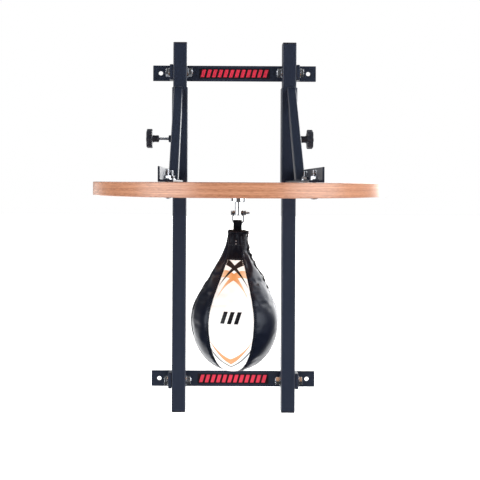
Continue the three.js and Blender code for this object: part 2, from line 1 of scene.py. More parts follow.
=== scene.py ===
"""The looks of the speed bag platform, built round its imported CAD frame.

Metres. +X is to the right of someone facing the wall, +Y goes into the wall and +Z is up.
Places come from the CAD nodes' boxes; sizes that the CAD doesn't show are named below.
"""

import json
import math

import bmesh
import bpy
import numpy as np
from mathutils import Matrix, Vector
from mathutils.bvhtree import BVHTree


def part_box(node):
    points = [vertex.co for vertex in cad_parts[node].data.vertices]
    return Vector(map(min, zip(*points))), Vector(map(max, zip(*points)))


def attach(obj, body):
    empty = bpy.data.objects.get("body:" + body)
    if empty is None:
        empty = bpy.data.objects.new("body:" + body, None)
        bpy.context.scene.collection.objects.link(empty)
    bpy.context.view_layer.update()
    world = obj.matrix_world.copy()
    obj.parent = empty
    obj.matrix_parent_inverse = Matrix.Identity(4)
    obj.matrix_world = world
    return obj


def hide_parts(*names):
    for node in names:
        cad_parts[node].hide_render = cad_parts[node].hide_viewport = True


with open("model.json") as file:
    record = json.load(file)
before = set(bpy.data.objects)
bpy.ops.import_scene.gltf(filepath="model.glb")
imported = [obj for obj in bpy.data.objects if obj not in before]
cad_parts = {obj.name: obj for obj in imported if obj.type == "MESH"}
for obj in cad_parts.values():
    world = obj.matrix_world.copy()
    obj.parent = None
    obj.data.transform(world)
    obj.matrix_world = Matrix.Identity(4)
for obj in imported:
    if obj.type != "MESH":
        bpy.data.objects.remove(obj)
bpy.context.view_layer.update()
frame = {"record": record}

MM = 0.001
TURN = 2 * math.pi
SIDES = {"left": -1, "right": 1}
LEVELS = ("upper", "lower")

# ---------------------------------------------------------------- sizes that the looks add

ROUND_SIDES = 48
M12_PITCH = 1.75 * MM
M8_PITCH = 1.25 * MM
M5_PITCH = 0.8 * MM
THREAD_ROWS = 8                    # rings of the mesh for each turn of a thread

PLIES = 9

# ---------------------------------------------------------------- outlines


def rounded(corners, steps=5):
    """An anticlockwise outline from corners (x, y, radius), each rounded to its own radius."""
    corners = [(Vector(corner[:2]), corner[2]) for corner in corners]
    points = []
    for i, (corner, radius) in enumerate(corners):
        back = (corners[i - 1][0] - corner).normalized()
        ahead = (corners[(i + 1) % len(corners)][0] - corner).normalized()
        if radius <= 0:
            points.append(corner)
            continue
        half = back.angle(ahead) / 2
        centre = corner + (back + ahead).normalized() * radius / math.sin(half)
        start = corner + back * radius / math.tan(half) - centre
        end = corner + ahead * radius / math.tan(half) - centre
        sweep = start.angle(end)
        for k in range(steps + 1):
            share = k / steps
            arm = start * math.sin((1 - share) * sweep) + end * math.sin(share * sweep)
            points.append(centre + arm / math.sin(sweep))
    return np.array([tuple(point) for point in points])


def rectangle(width, height, radius):
    half_w, half_h = width / 2, height / 2
    return rounded([(half_w, -half_h, radius), (half_w, half_h, radius),
                    (-half_w, half_h, radius), (-half_w, -half_h, radius)])


def circle(radius, centre=(0, 0), sides=ROUND_SIDES):
    angles = np.arange(sides) / sides * TURN
    return np.stack([centre[0] + radius * np.cos(angles), centre[1] + radius * np.sin(angles)], 1)


def inset(outline, distance):
    """The anticlockwise outline moved inwards by distance."""
    ahead = np.roll(outline, -1, axis=0) - outline
    ahead /= np.linalg.norm(ahead, axis=1)[:, None]
    behind = np.roll(ahead, 1, axis=0)
    inward = [np.stack([-side[:, 1], side[:, 0]], 1) for side in (behind, ahead)]
    shared = 1 + np.sum(inward[0] * inward[1], axis=1)
    return outline + distance * (inward[0] + inward[1]) / shared[:, None]


def curve_through(points, steps=8):
    """A smooth path through the points (Catmull-Rom)."""
    points = np.asarray(points, float)
    ends = np.vstack([2 * points[0] - points[1], points, 2 * points[-1] - points[-2]])
    path = []
    for i in range(1, len(ends) - 2):
        before, here, there, after = ends[i - 1:i + 3]
        for k in range(steps):
            t = k / steps
            path.append(0.5 * (2 * here + (there - before) * t
                               + (2 * before - 5 * here + 4 * there - after) * t ** 2
                               + (3 * here - before - 3 * there + after) * t ** 3))
    path.append(points[-1])
    return np.array(path)


# ---------------------------------------------------------------- solids, as (points, faces)


def loft(rings, wrap=False):
    """A closed skin over rings of equally many points; wrap joins the last ring to the first."""
    rings = np.asarray(rings, float)
    rows, count = rings.shape[:2]
    faces = []
    for row in range(rows if wrap else rows - 1):
        here, there = row * count, (row + 1) % rows * count
        for i in range(count):
            j = (i + 1) % count
            faces.append((here + i, here + j, there + j, there + i))
    if not wrap:
        faces.append(tuple(reversed(range(count))))
        faces.append(tuple(range((rows - 1) * count, rows * count)))
    return rings.reshape(-1, 3), faces


def turned(rows, sides=ROUND_SIDES, wrap=False):
    """A solid about Z from rows (radius, height), where radius may be a function of the angle."""
    angles = np.arange(sides) / sides * TURN
    rings = []
    for radius, height in rows:
        reach = radius(angles) if callable(radius) else np.full(sides, radius)
        rings.append(np.stack([reach * np.cos(angles), reach * np.sin(angles),
                               np.full(sides, height)], 1))
    return loft(rings, wrap)


def arc(centre, radius, start, end, steps=4):
    """Rows of a quarter round or the like: points on an arc, angles in degrees."""
    angles = np.radians(np.linspace(start, end, steps + 1))
    return [(centre[0] + radius * math.cos(a), centre[1] + radius * math.sin(a)) for a in angles]


def plate(outline, thickness, edge, holes=(), steps=3):
    """A slab from z = 0 up to thickness, with holes through it and each rim rounded by edge."""
    body = bmesh.new()
    profile = [(edge * (1 - math.sin(a)), edge * (1 - math.cos(a)))
               for a in np.linspace(0, math.pi / 2, steps + 1)]
    profile += [(back, thickness - height) for back, height in reversed(profile)]
    rims = {0: [], len(profile) - 1: []}
    for loop, sign in [(outline, 1)] + [(hole, -1) for hole in holes]:
        rows = []
        for k, (back, height) in enumerate(profile):
            ring = inset(loop, sign * back)
            rows.append([body.verts.new((x, y, height)) for x, y in ring])
        for below, above in zip(rows, rows[1:]):
            for i in range(len(below)):
                j = (i + 1) % len(below)
                body.faces.new((below[i], below[j], above[j], above[i])[::sign])
        for k in rims:
            rims[k] += [body.edges.get((a, b)) for a, b in zip(rows[k], rows[k][1:] + rows[k][:1])]
    for edges in rims.values():
        if holes:
            bmesh.ops.triangle_fill(body, edges=edges, use_beauty=True)
        else:
            bmesh.ops.contextual_create(body, geom=edges)
    body.verts.index_update()
    solid = ([tuple(v.co) for v in body.verts], [tuple(v.index for v in f.verts) for f in body.faces])
    body.free()
    return solid


def tube(path, radius, sides=12):
    """A round rod along a path; radius may be one number or one for each point."""
    path = np.asarray(path, float)
    radii = np.broadcast_to(radius, len(path))
    tangents = np.gradient(path, axis=0)
    tangents /= np.linalg.norm(tangents, axis=1)[:, None]
    side = np.cross(tangents[0], (0.31, 0.52, 0.79))
    rings = []
    for point, tangent, reach in zip(path, tangents, radii):
        side = side - np.dot(side, tangent) * tangent
        side /= np.linalg.norm(side)
        other = np.cross(tangent, side)
        angles = np.arange(sides) / sides * TURN
        rings.append(point + reach * (np.cos(angles)[:, None] * side + np.sin(angles)[:, None] * other))
    return loft(rings)


def moved(solid, matrix):
    points = np.asarray(solid[0], float)
    turn = np.array(matrix)
    return points @ turn[:3, :3].T + turn[:3, 3], solid[1]


ALONG_X = Matrix(((0, 0, 1, 0), (1, 0, 0, 0), (0, 1, 0, 0), (0, 0, 0, 1)))
TOWARDS_ROOM = Matrix(((1, 0, 0, 0), (0, 0, -1, 0), (0, 1, 0, 0), (0, 0, 0, 1)))
UPSIDE_DOWN = Matrix.Rotation(math.pi, 4, "X")


def at(*place):
    return Matrix.Translation(Vector(place))


def facing(side):
    """Turns something made for the right-hand side to the side named."""
    return Matrix.Identity(4) if side > 0 else Matrix.Rotation(math.pi, 4, "Z")


def rod(radius, start, end, sides=ROUND_SIDES):
    """A plain round rod from one point to another, for cutting holes."""
    return tube([start, end], radius, sides)


# ---------------------------------------------------------------- objects


def make(name, solids, materials, paint=None, sharp=32):
    """A mesh object of the solids; paint gives a face's material number from its centre and normal."""
    mesh = bpy.data.meshes.new(name)
    points, faces = [], []
    for solid in solids:
        first = len(points)
        points += [tuple(point) for point in solid[0]]
        faces += [tuple(first + i for i in face) for face in solid[1]]
    mesh.from_pydata(points, [], faces)
    tidy = bmesh.new()
    tidy.from_mesh(mesh)
    bmesh.ops.recalc_face_normals(tidy, faces=tidy.faces)
    tidy.to_mesh(mesh)
    tidy.free()
    for material in materials:
        mesh.materials.append(material)
    thing = bpy.data.objects.new(name, mesh)
    bpy.context.scene.collection.objects.link(thing)
    finish_surface(thing, paint, sharp)
    return thing


def finish_surface(thing, paint=None, sharp=32):
    mesh = thing.data
    if paint:
        for face in mesh.polygons:
            face.material_index = paint(face.center, face.normal)
    mesh.polygons.foreach_set("use_smooth", [True] * len(mesh.polygons))
    mesh.set_sharp_from_angle(angle=math.radians(sharp))


def settle(thing):
    """Takes the object's modifiers into its mesh."""
    seen = thing.evaluated_get(bpy.context.evaluated_depsgraph_get())
    mesh = bpy.data.meshes.new_from_object(seen)
    thing.modifiers.clear()
    thing.data = mesh
    return thing


def combine(thing, solids, operation="DIFFERENCE"):
    """Cuts the solids out of the object, or joins them to it."""
    tool = make("tool", solids, [])
    change = thing.modifiers.new("combine", "BOOLEAN")
    change.operation = operation
    change.solver = "EXACT"
    change.use_self = len(solids) > 1
    change.object = tool
    settle(thing)
    bpy.data.objects.remove(tool)
    finish_surface(thing)
    return thing


def keep(thing, body, slot, *nodes, flat=True):
    """Hands a finished piece to the frame: the body it rides on and the nodes it replaces; slot is not used."""
    if flat:
        thing.modifiers.new("even_shading", "WEIGHTED_NORMAL").keep_sharp = True
    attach(thing, body)
    if nodes:
        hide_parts(*nodes)
    return thing


def middle(node):
    low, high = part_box(node)
    return (low + high) / 2


def size(node):
    low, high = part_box(node)
    return high - low

# ---------------------------------------------------------------- shader arithmetic


def srgb(red, green, blue):
    """A colour given 0 to 255, as the linear colour that shaders use."""
    return tuple(((c / 255 + 0.055) / 1.055) ** 2.4 if c > 10 else c / 3294.6
                 for c in (red, green, blue)) + (1,)


class Num:
    """A shader value that takes part in arithmetic, with one Math node for each step."""

    def __init__(self, graph, socket):
        self.graph, self.socket = graph, socket

    def math(self, operation, *others, clamp=False):
        node = self.graph.tree.nodes.new("ShaderNodeMath")
        node.operation = operation
        node.use_clamp = clamp
        for value, socket in zip((self, *others), node.inputs):
            self.graph.put(value, socket)
        return Num(self.graph, node.outputs[0])

    def __add__(self, other):
        return self.math("ADD", other)

    def __sub__(self, other):
        return self.math("SUBTRACT", other)

    def __mul__(self, other):
        return self.math("MULTIPLY", other)

    def __truediv__(self, other):
        return self.math("DIVIDE", other)

    def __rsub__(self, other):
        return self * -1 + other

    def __abs__(self):
        return self.math("ABSOLUTE")

    __radd__ = __add__
    __rmul__ = __mul__

    def over(self, width):
        """0 below zero and 1 above it, with a soft step of that width."""
        return (self / width + 0.5).math("ADD", 0, clamp=True)


class Graph:
    """One material's nodes. Values that are the same all over go on the shader's own sockets."""

    def __init__(self, name, **sockets):
        self.material = bpy.data.materials.new(name)
        self.material.use_nodes = True
        self.tree = self.material.node_tree
        self.shader = self.tree.nodes["Principled BSDF"]
        for socket, value in sockets.items():
            self.shader.inputs[socket.replace("_", " ")].default_value = value
        self.place = self.tree.nodes.new("ShaderNodeTexCoord").outputs["Object"]

    def put(self, value, socket):
        if isinstance(value, Num):
            value = value.socket
        if isinstance(value, bpy.types.NodeSocket):
            self.tree.links.new(value, socket)
        else:
            socket.default_value = value

    def node(self, kind, output=0, settings=(), **inputs):
        node = self.tree.nodes.new("ShaderNode" + kind)
        for setting, value in dict(settings).items():
            setattr(node, setting, value)
        for socket, value in inputs.items():
            self.put(value, node.inputs[socket])
        return Num(self, node.outputs[output])

    def xyz(self):
        split = self.tree.nodes.new("ShaderNodeSeparateXYZ")
        self.put(self.place, split.inputs[0])
        return [Num(self, socket) for socket in split.outputs]

    def vector(self, x, y, z):
        return self.node("CombineXYZ", X=x, Y=y, Z=z)

    def noise(self, scale, detail=2, vector=None):
        return self.node("TexNoise", Vector=vector or self.place, Scale=scale, Detail=detail)

    def cells(self, scale, vector=None):
        return self.node("TexVoronoi", Vector=vector or self.place, Scale=scale)

    def mix(self, factor, colour, other):
        node = self.tree.nodes.new("ShaderNodeMix")
        node.data_type = "RGBA"
        for value, index in ((factor, 0), (colour, 6), (other, 7)):
            self.put(value, node.inputs[index])
        return node.outputs[2]

    def shade(self, colour=None, roughness=None, height=None, strength=1.0):
        """height is the surface's relief in millimetres."""
        if colour is not None:
            self.put(colour, self.shader.inputs["Base Color"])
        if roughness is not None:
            self.put(roughness, self.shader.inputs["Roughness"])
        if height is not None:
            bump = self.node("Bump", Height=height, Strength=strength, Distance=MM)
            self.put(bump, self.shader.inputs["Normal"])
        return self.material


# ---------------------------------------------------------------- hard materials

NAVY = srgb(35, 43, 60)
NAVY_DEEP = srgb(29, 36, 51)
PRINT_BLACK = srgb(16, 14, 20)
PRINT_RED = srgb(205, 46, 70)
PRINT = {"half_width": 88 * MM, "half_height": 9.8 * MM, "margin": 3.2 * MM, "pitch": 14.6 * MM,
         "share": 0.62, "slant": 0.28}


def powder_coat(name, printed=False):
    """Semi-gloss navy powder coat; a crossbar also has a printed row of slanted red bars."""
    graph = Graph(name, Specular_IOR_Level=0.3, Coat_Weight=0.08, Coat_Roughness=0.2)
    peel = graph.noise(620)
    fine = graph.noise(2400, 1)
    cloud = graph.noise(7, 4)
    colour = graph.mix(cloud, NAVY_DEEP, NAVY)
    if printed:
        x, y, z = graph.xyz()
        near_bar = [z, z + BAR_SPACING]
        on_front = (FRONT_OF_PRINT - y).over(0.2 * MM)
        for height in near_bar:
            panel = ((PRINT["half_width"] + PRINT["margin"] - abs(x)).over(0.8 * MM)
                     * (PRINT["half_height"] + PRINT["margin"] - abs(height)).over(0.8 * MM) * on_front)
            along = ((x - height * PRINT["slant"]) / PRINT["pitch"]).math("FRACT")
            bars = ((PRINT["share"] / 2 - abs(along - 0.5)).over(0.05)
                    * (PRINT["half_width"] - abs(x)).over(0.6 * MM)
                    * (PRINT["half_height"] - abs(height)).over(0.6 * MM) * on_front)
            colour = graph.mix(panel, colour, PRINT_BLACK)
            colour = graph.mix(bars, colour, PRINT_RED)
    return graph.shade(colour, cloud * 0.10 + 0.27 + fine * 0.05, peel * 0.05 + fine * 0.008)


def zinc_plate():
    graph = Graph("zinc_plate", Metallic=1.0)
    bloom = graph.noise(140, 4)
    grain = graph.noise(1500, 3)
    colour = graph.mix(bloom, srgb(156, 160, 168), srgb(198, 202, 208))
    return graph.shade(colour, bloom * 0.16 + 0.14 + grain * 0.06, grain * 0.006)


def bright_chrome():
    graph = Graph("bright_chrome", Metallic=1.0)
    cloud = graph.noise(90, 4)
    scuff = graph.noise(1900, 2)
    colour = graph.mix(cloud, srgb(226, 230, 236), srgb(240, 242, 245))
    return graph.shade(colour, cloud * 0.05 + 0.035 + scuff * 0.02, scuff * 0.0015)


def dull_nickel():
    graph = Graph("dull_nickel", Metallic=1.0)
    cloud = graph.noise(120, 4)
    scuff = graph.noise(1700, 2)
    colour = graph.mix(cloud, srgb(104, 106, 112), srgb(134, 136, 142))
    return graph.shade(colour, cloud * 0.1 + 0.2 + scuff * 0.06, scuff * 0.004)


def grained_plastic():
    graph = Graph("grained_plastic", IOR=1.46)
    grain = graph.cells(1300)
    cloud = graph.noise(60, 4)
    colour = graph.mix(cloud, srgb(30, 32, 42), srgb(44, 47, 58))
    return graph.shade(colour, cloud * 0.14 + 0.34, grain * 0.05)


def plywood_edge(underside, thickness):
    """Plies seen on edge: each has its own tone and streaks, with a thin dark glue line between."""
    graph = Graph("plywood_edge", Coat_Weight=0.5, Coat_Roughness=0.18)
    x, y, z = graph.xyz()
    waver = graph.noise(9, 2) * 0.5 * MM
    layer = (z - underside + waver) / (thickness / PLIES)
    ply = layer.math("FLOOR")
    within = layer.math("FRACT")
    tone = graph.node("TexWhiteNoise", settings={"noise_dimensions": "1D"}, W=ply)
    streak = graph.noise(1, 5, graph.vector(x * 14, y * 14, z * 420))
    fleck = graph.noise(1, 3, graph.vector(x * 110, y * 110, z * 620))
    fleck = ((fleck - 0.5) * 1.8).over(1)
    contrast = ((streak - 0.5) * 2.2).over(1)
    pale = graph.mix(contrast, srgb(174, 116, 82), srgb(214, 156, 120))
    deep = graph.mix(fleck, srgb(138, 84, 56), srgb(184, 122, 86))
    colour = graph.mix(tone * 0.5 + fleck * 0.5, deep, pale)
    glue = (0.5 - abs(within - 0.5)) / 0.10
    dark = (1 - glue.math("MINIMUM", 1)) * 0.7
    colour = graph.mix(dark, colour, srgb(112, 62, 42))
    depth = (z - underside).math("MINIMUM", underside + thickness - z)
    colour = graph.mix((1.7 * MM - depth).over(0.4 * MM) * 0.75, colour, srgb(146, 100, 82))
    return graph.shade(colour, 0.34 + fleck * 0.14, streak * 0.05 + glue.math("MINIMUM", 1) * 0.03)


def plywood_face():
    """Rotary-cut veneer: long wandering grain along X with fine pores."""
    graph = Graph("plywood_face", Coat_Weight=0.5, Coat_Roughness=0.16)
    x, y, z = graph.xyz()
    drift = graph.noise(2.2, 3) * 0.10
    bands = graph.noise(1, 6, graph.vector(x * 2.2, (y + drift) * 34, z))
    lines = graph.noise(1, 4, graph.vector(x * 6, (y + drift) * 190, z))
    pores = graph.noise(1, 2, graph.vector(x * 60, y * 1500, z))
    colour = graph.mix(bands, srgb(196, 134, 92), srgb(234, 186, 142))
    colour = graph.mix((lines - 0.5).over(0.3) * 0.4, colour, srgb(176, 112, 72))
    colour = graph.mix((pores - 0.62).over(0.08) * 0.35, colour, srgb(132, 82, 52))
    return graph.shade(colour, bands * 0.1 + 0.3, lines * 0.03 + pores * 0.02)


def moulded_latex():
    graph = Graph("moulded_latex", Sheen_Weight=0.15)
    cloud = graph.noise(45, 4)
    return graph.shade(graph.mix(cloud, srgb(120, 48, 34), srgb(158, 74, 52)),
                       cloud * 0.2 + 0.55, graph.noise(900) * 0.04)


# ---------------------------------------------------------------- soft materials

BLACK_LEATHER = srgb(6, 9, 21)
BLACK_LEATHER_WORN = srgb(11, 16, 31)
BLACK_SHINE = (0.78, 0.86, 1.0, 1)
GORE_WHITE = srgb(250, 250, 250)
GORE_ORANGE = srgb(208, 142, 86)
GORE_TAN = srgb(236, 206, 172)


def black_leather(name, roughness=0.2, coat=0.06):
    graph = Graph(name, IOR=1.5, Coat_Weight=coat, Coat_Roughness=0.12, Specular_IOR_Level=0.2,
                  Specular_Tint=BLACK_SHINE)
    pebble = graph.cells(900)
    pores = graph.noise(3400, 1)
    x, y, z = graph.xyz()
    crease = graph.noise(1, 4, graph.vector(x * 60, y * 60, z * 22))
    wear = graph.noise(26, 5)
    colour = graph.mix(wear, BLACK_LEATHER, BLACK_LEATHER_WORN)
    return graph.shade(colour, wear * 0.16 + roughness + pebble * 0.06,
                       pebble * 0.035 + pores * 0.012 + crease * 0.25)


def strand(across, up, stroke):
    """How much of a curved stroke, tapering to its lower end, covers a point, 0 to 1."""
    middle = across * stroke["slope"] - across * across * stroke["bend"] - stroke["depth"]
    thick = (across * stroke["growth"] + stroke["half"]).math("MINIMUM", stroke["widest"])
    soft = 0.5 * MM
    return (thick - abs(up - middle)).over(soft) * (across + stroke["half"] / stroke["growth"]).over(soft)


BLACK_STROKE = {"slope": 0.85, "bend": 13.5, "depth": 91.8 * MM, "half": 4.7 * MM, "growth": 0.145,
                "widest": 6.4 * MM}
ORANGE_STROKE = {"slope": 0.68, "bend": 19.5, "depth": 110.0 * MM, "half": 6.6 * MM, "growth": 0.205,
                 "widest": 6.6 * MM}
VALLEY = {"slope": 0.55, "bend": 11, "band": 282 * MM, "half": 7.0 * MM, "reach": 47 * MM,
          "line": 294.5 * MM}


def printed_gore():
    """White leather gore: crossed black and orange strokes above, a V below, plain stripes between."""
    graph = Graph("printed_gore", IOR=1.5, Coat_Weight=0.1, Coat_Roughness=0.1, Specular_IOR_Level=0.3)
    x, y, up = graph.xyz()
    across = x * math.cos(GORE_MIDDLE) + y * math.sin(GORE_MIDDLE)
    mirrored = across * -1
    wear = graph.noise(30, 4)
    colour = graph.mix(wear, GORE_WHITE, srgb(240, 239, 238))

    spread = abs(across)
    faded = ((spread - 3 * MM) / (24 * MM)).math("ADD", 0, clamp=True) * 0.85
    orange = graph.mix(faded, GORE_ORANGE, GORE_TAN)
    for way in (across, mirrored):
        colour = graph.mix(strand(way, up, ORANGE_STROKE), colour, orange)
    for way in (across, mirrored):
        colour = graph.mix(strand(way, up, BLACK_STROKE), colour, PRINT_BLACK)

    valley = spread * VALLEY["slope"] + across * across * VALLEY["bend"]
    thin = spread * (VALLEY["half"] / VALLEY["reach"])
    band = (VALLEY["half"] - thin - abs(up + VALLEY["band"] - valley)).over(0.8 * MM)
    colour = graph.mix(band * 0.95, colour, GORE_ORANGE)
    line = (1.3 * MM + spread * 0.03 - abs(up + VALLEY["line"] - valley * 0.93)).over(0.6 * MM)
    colour = graph.mix(line * 0.9, colour, srgb(54, 52, 58))

    stripe_up = up + STRIPES["height"]
    stripe_across = across - stripe_up * STRIPES["slant"]
    along = (stripe_across / STRIPES["pitch"] + 0.5).math("FRACT")
    stripes = ((STRIPES["share"] / 2 - abs(along - 0.5)).over(0.05)
               * (STRIPES["pitch"] * STRIPES["count"] / 2 - abs(stripe_across)).over(0.5 * MM)
               * (STRIPES["half_height"] - abs(stripe_up)).over(0.5 * MM))
    colour = graph.mix(stripes, colour, PRINT_BLACK)
    pebble = graph.cells(900)
    return graph.shade(colour, wear * 0.12 + 0.24, pebble * 0.03 + graph.noise(3400, 1) * 0.01)


def strap_leather():
    graph = Graph("strap_leather", Specular_IOR_Level=0.1, Specular_Tint=BLACK_SHINE)
    pebble = graph.cells(1200)
    wear = graph.noise(70, 5)
    colour = graph.mix(wear, srgb(7, 7, 13), srgb(13, 13, 21))
    return graph.shade(colour, wear * 0.2 + 0.3, pebble * 0.04 + wear * 0.1)


def waxed_thread(name, dark, light):
    """Twisted cord: fine slanted ribs across the thread."""
    graph = Graph(name, Sheen_Weight=0.2, Sheen_Roughness=0.4)
    fuzz = graph.noise(2600, 3)
    x, y, z = graph.xyz()
    twist = ((x + y + z) * (TURN / (1.1 * MM))).math("SINE")
    return graph.shade(graph.mix(fuzz, dark, light), fuzz * 0.2 + 0.5, twist * 0.09 + fuzz * 0.05)


# ---------------------------------------------------------------- camera, light and floor

VIEW = {"place": (-0.0516, -2.064, -0.280), "roll": -0.3, "lens": 59.85,
        "shift": (0.0542, -0.1208)}
FLOOR = {"height": -1.22, "size": 40}


def camera():
    data = bpy.data.cameras.new("camera")
    data.lens = VIEW["lens"]
    data.sensor_width = 36
    data.shift_x, data.shift_y = VIEW["shift"]
    thing = bpy.data.objects.new("camera", data)
    thing.location = VIEW["place"]
    thing.rotation_euler = (math.radians(90), math.radians(VIEW["roll"]), 0)
    bpy.context.scene.collection.objects.link(thing)
    bpy.context.scene.camera = thing


# What the studio shows in each direction: a direction, how wide it reaches and how bright it is.
LAMPS = {"front_left": ((-0.84, -0.54, 0.06), 20, 5.4), "front_right": ((0.84, -0.54, 0.10), 20, 5.8),
         "behind_right": ((0.52, 0.81, 0.27), 23, 5.0),
         "right": ((0.80, 0.42, 0.42), 16, 3.8), "floor_left": ((-0.50, 0.70, -0.50), 26, 3.2),
         "floor_right": ((0.42, 0.80, -0.42), 18, 2.4),
         "behind": ((0, 1, 0), 14, 0.5), "back_left": ((-0.56, 0.42, 0.72), 16, 5.0),
         "back_right": ((0.72, 0.20, 0.66), 16, 5.0)}
STUDIO_DIM = 0.11


def surroundings():
    """A white studio to the camera; to the object it is dim, with soft lamps round it."""
    world = bpy.data.worlds.new("studio")
    bpy.context.scene.world = world
    world.use_nodes = True
    graph = Graph.__new__(Graph)
    graph.tree = world.node_tree
    background = graph.tree.nodes["Background"]
    graph.place = graph.tree.nodes.new("ShaderNodeTexCoord").outputs["Generated"]
    x, y, z = graph.xyz()
    light = (z + 1) * STUDIO_DIM * 0.3 + STUDIO_DIM * 0.7
    for direction, reach, strength in LAMPS.values():
        lamp = Vector(direction).normalized()
        near = x * lamp.x + y * lamp.y + z * lamp.z
        outer = math.cos(math.radians(reach + 8))
        inner = math.cos(math.radians(reach - 8))
        light = light + (near - (outer + inner) / 2).over(inner - outer) * strength
    seen = Num(graph, graph.tree.nodes.new("ShaderNodeLightPath").outputs["Is Camera Ray"])
    graph.put(light * (1 - seen) + seen, background.inputs["Strength"])
    background.inputs["Color"].default_value = (1, 1, 1, 1)


def floor():
    graph = Graph("pale_floor", Specular_IOR_Level=0.2, Emission_Color=(1, 1, 1, 1), Emission_Strength=0.6)
    cloud = graph.noise(1.5, 3)
    material = graph.shade(graph.mix(cloud, (0.93, 0.93, 0.93, 1), (0.95, 0.95, 0.95, 1)),
                           cloud * 0.1 + 0.5)
    half = FLOOR["size"] / 2
    outline = rectangle(2 * half, 2 * half, 1.0)
    thing = make("floor", [moved(plate(outline, 0.02, 0.005), at(0, 0, FLOOR["height"] - 0.02))], [material])
    thing.visible_glossy = False


camera()
surroundings()
floor()
scene = bpy.context.scene
scene.view_settings.view_transform = "Standard"

# ---------------------------------------------------------------- wall frame

BAR_HEIGHT = 40 * MM
BAR_THICK = 5 * MM
BAR_EDGE = 0.6 * MM
BAR_SPACING = middle("upper_crossbar").z - middle("lower_crossbar").z
FRONT_OF_PRINT = -BAR_THICK / 2
WALL_HOLE = {"radius": 5.5 * MM, "x": 190 * MM}
EAR = {"inner_x": 157.5 * MM, "thickness": 8 * MM, "corner": 9 * MM, "hole": 6.5 * MM}
POST_Y = middle("left_post").y
POST_X = middle("right_post").x
POST = {"size": 35 * MM, "wall": 1.5 * MM, "corner": 3 * MM}
LOCK_HOLE = {"radius": 4.8 * MM, "top": -170 * MM, "pitch": 25 * MM, "count": 19}
CAP = {"plate": 3.5 * MM, "edge": 1.2 * MM, "plug": 14 * MM}

paint = powder_coat("powder_coat")
printed_paint = powder_coat("printed_powder_coat", printed=True)
zinc = zinc_plate()
chrome = bright_chrome()
nickel = dull_nickel()
plastic = grained_plastic()


def weld(start, end, radius, ripple=1.7 * MM):
    """A weld bead: a rod whose girth swells at every pass of the torch."""
    start, end = Vector(start), Vector(end)
    length = (end - start).length
    count = max(int(length / (0.42 * MM)), 4)
    shares = np.linspace(0, 1, count)
    path = np.array([tuple(start.lerp(end, s)) for s in shares])
    swell = 1 + 0.16 * np.cos(shares * length / ripple * TURN) + 0.08 * np.sin(shares * length / 0.011)
    ends = np.clip(np.minimum(shares, 1 - shares) * length / (2 * radius), 0, 1)
    return tube(path, radius * swell * np.sqrt(1 - (1 - ends) ** 2 * 0.92), 12)


def crossbar(level):
    centre = middle(f"{level}_crossbar")
    low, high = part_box(f"{level}_crossbar")
    height = (low.z + high.z) / 2
    bar = plate(rectangle(high.x - low.x, BAR_HEIGHT, 1.2 * MM), BAR_THICK, BAR_EDGE,
                [circle(WALL_HOLE["radius"], (side * WALL_HOLE["x"], 0)) for side in SIDES.values()])
    solids = [moved(bar, at(0, 0, height) @ TOWARDS_ROOM)]
    back = -BAR_THICK + 0.3 * MM
    half = BAR_HEIGHT / 2
    ear = rounded([(back, -half, 0.5 * MM), (back, half, 0.5 * MM), (low.y, half, EAR["corner"]),
                   (low.y, -half, EAR["corner"])], 8)
    ear_plate = plate(ear, EAR["thickness"], 0.8 * MM, [circle(EAR["hole"], (POST_Y, 0))])
    for side in SIDES.values():
        solids.append(moved(ear_plate, at(0, 0, height) @ facing(side) @ at(EAR["inner_x"], 0, 0)
                            @ ALONG_X) if side > 0 else
                      moved(ear_plate, at(-EAR["inner_x"] - EAR["thickness"], 0, height) @ ALONG_X))
        for x in (EAR["inner_x"], EAR["inner_x"] + EAR["thickness"]):
            solids.append(weld((side * x, -BAR_THICK, height - half + 2 * MM),
                               (side * x, -BAR_THICK, height + half - 2 * MM), 2.1 * MM))
    thing = make(f"{level}_wall_bar", solids, [printed_paint])
    keep(thing, "wall_frame", "frame_paint", f"{level}_crossbar")


def post(name, side):
    low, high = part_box(f"{name}_post")
    tube_wall = plate(rectangle(POST["size"], POST["size"], POST["corner"]), high.z - low.z, 0.35 * MM,
                      [rectangle(POST["size"] - 2 * POST["wall"], POST["size"] - 2 * POST["wall"],
                                 POST["corner"] - POST["wall"])])
    thing = make(f"{name}_post_tube", [moved(tube_wall, at(side * POST_X, POST_Y, low.z))], [paint])
    clear = POST["size"] / 2 + 2 * MM
    cuts = [rod(EAR["hole"], (side * POST_X - clear, POST_Y, z), (side * POST_X + clear, POST_Y, z))
            for z in (0, -BAR_SPACING)]
    wall_x = side * (POST_X + POST["size"] / 2)
    for i in range(LOCK_HOLE["count"]):
        z = LOCK_HOLE["top"] - i * LOCK_HOLE["pitch"]
        cuts.append(rod(LOCK_HOLE["radius"], (wall_x - 5 * MM, POST_Y, z), (wall_x + 5 * MM, POST_Y, z), 32))
    combine(thing, cuts)
    keep(thing, "wall_frame", "frame_paint", f"{name}_post")


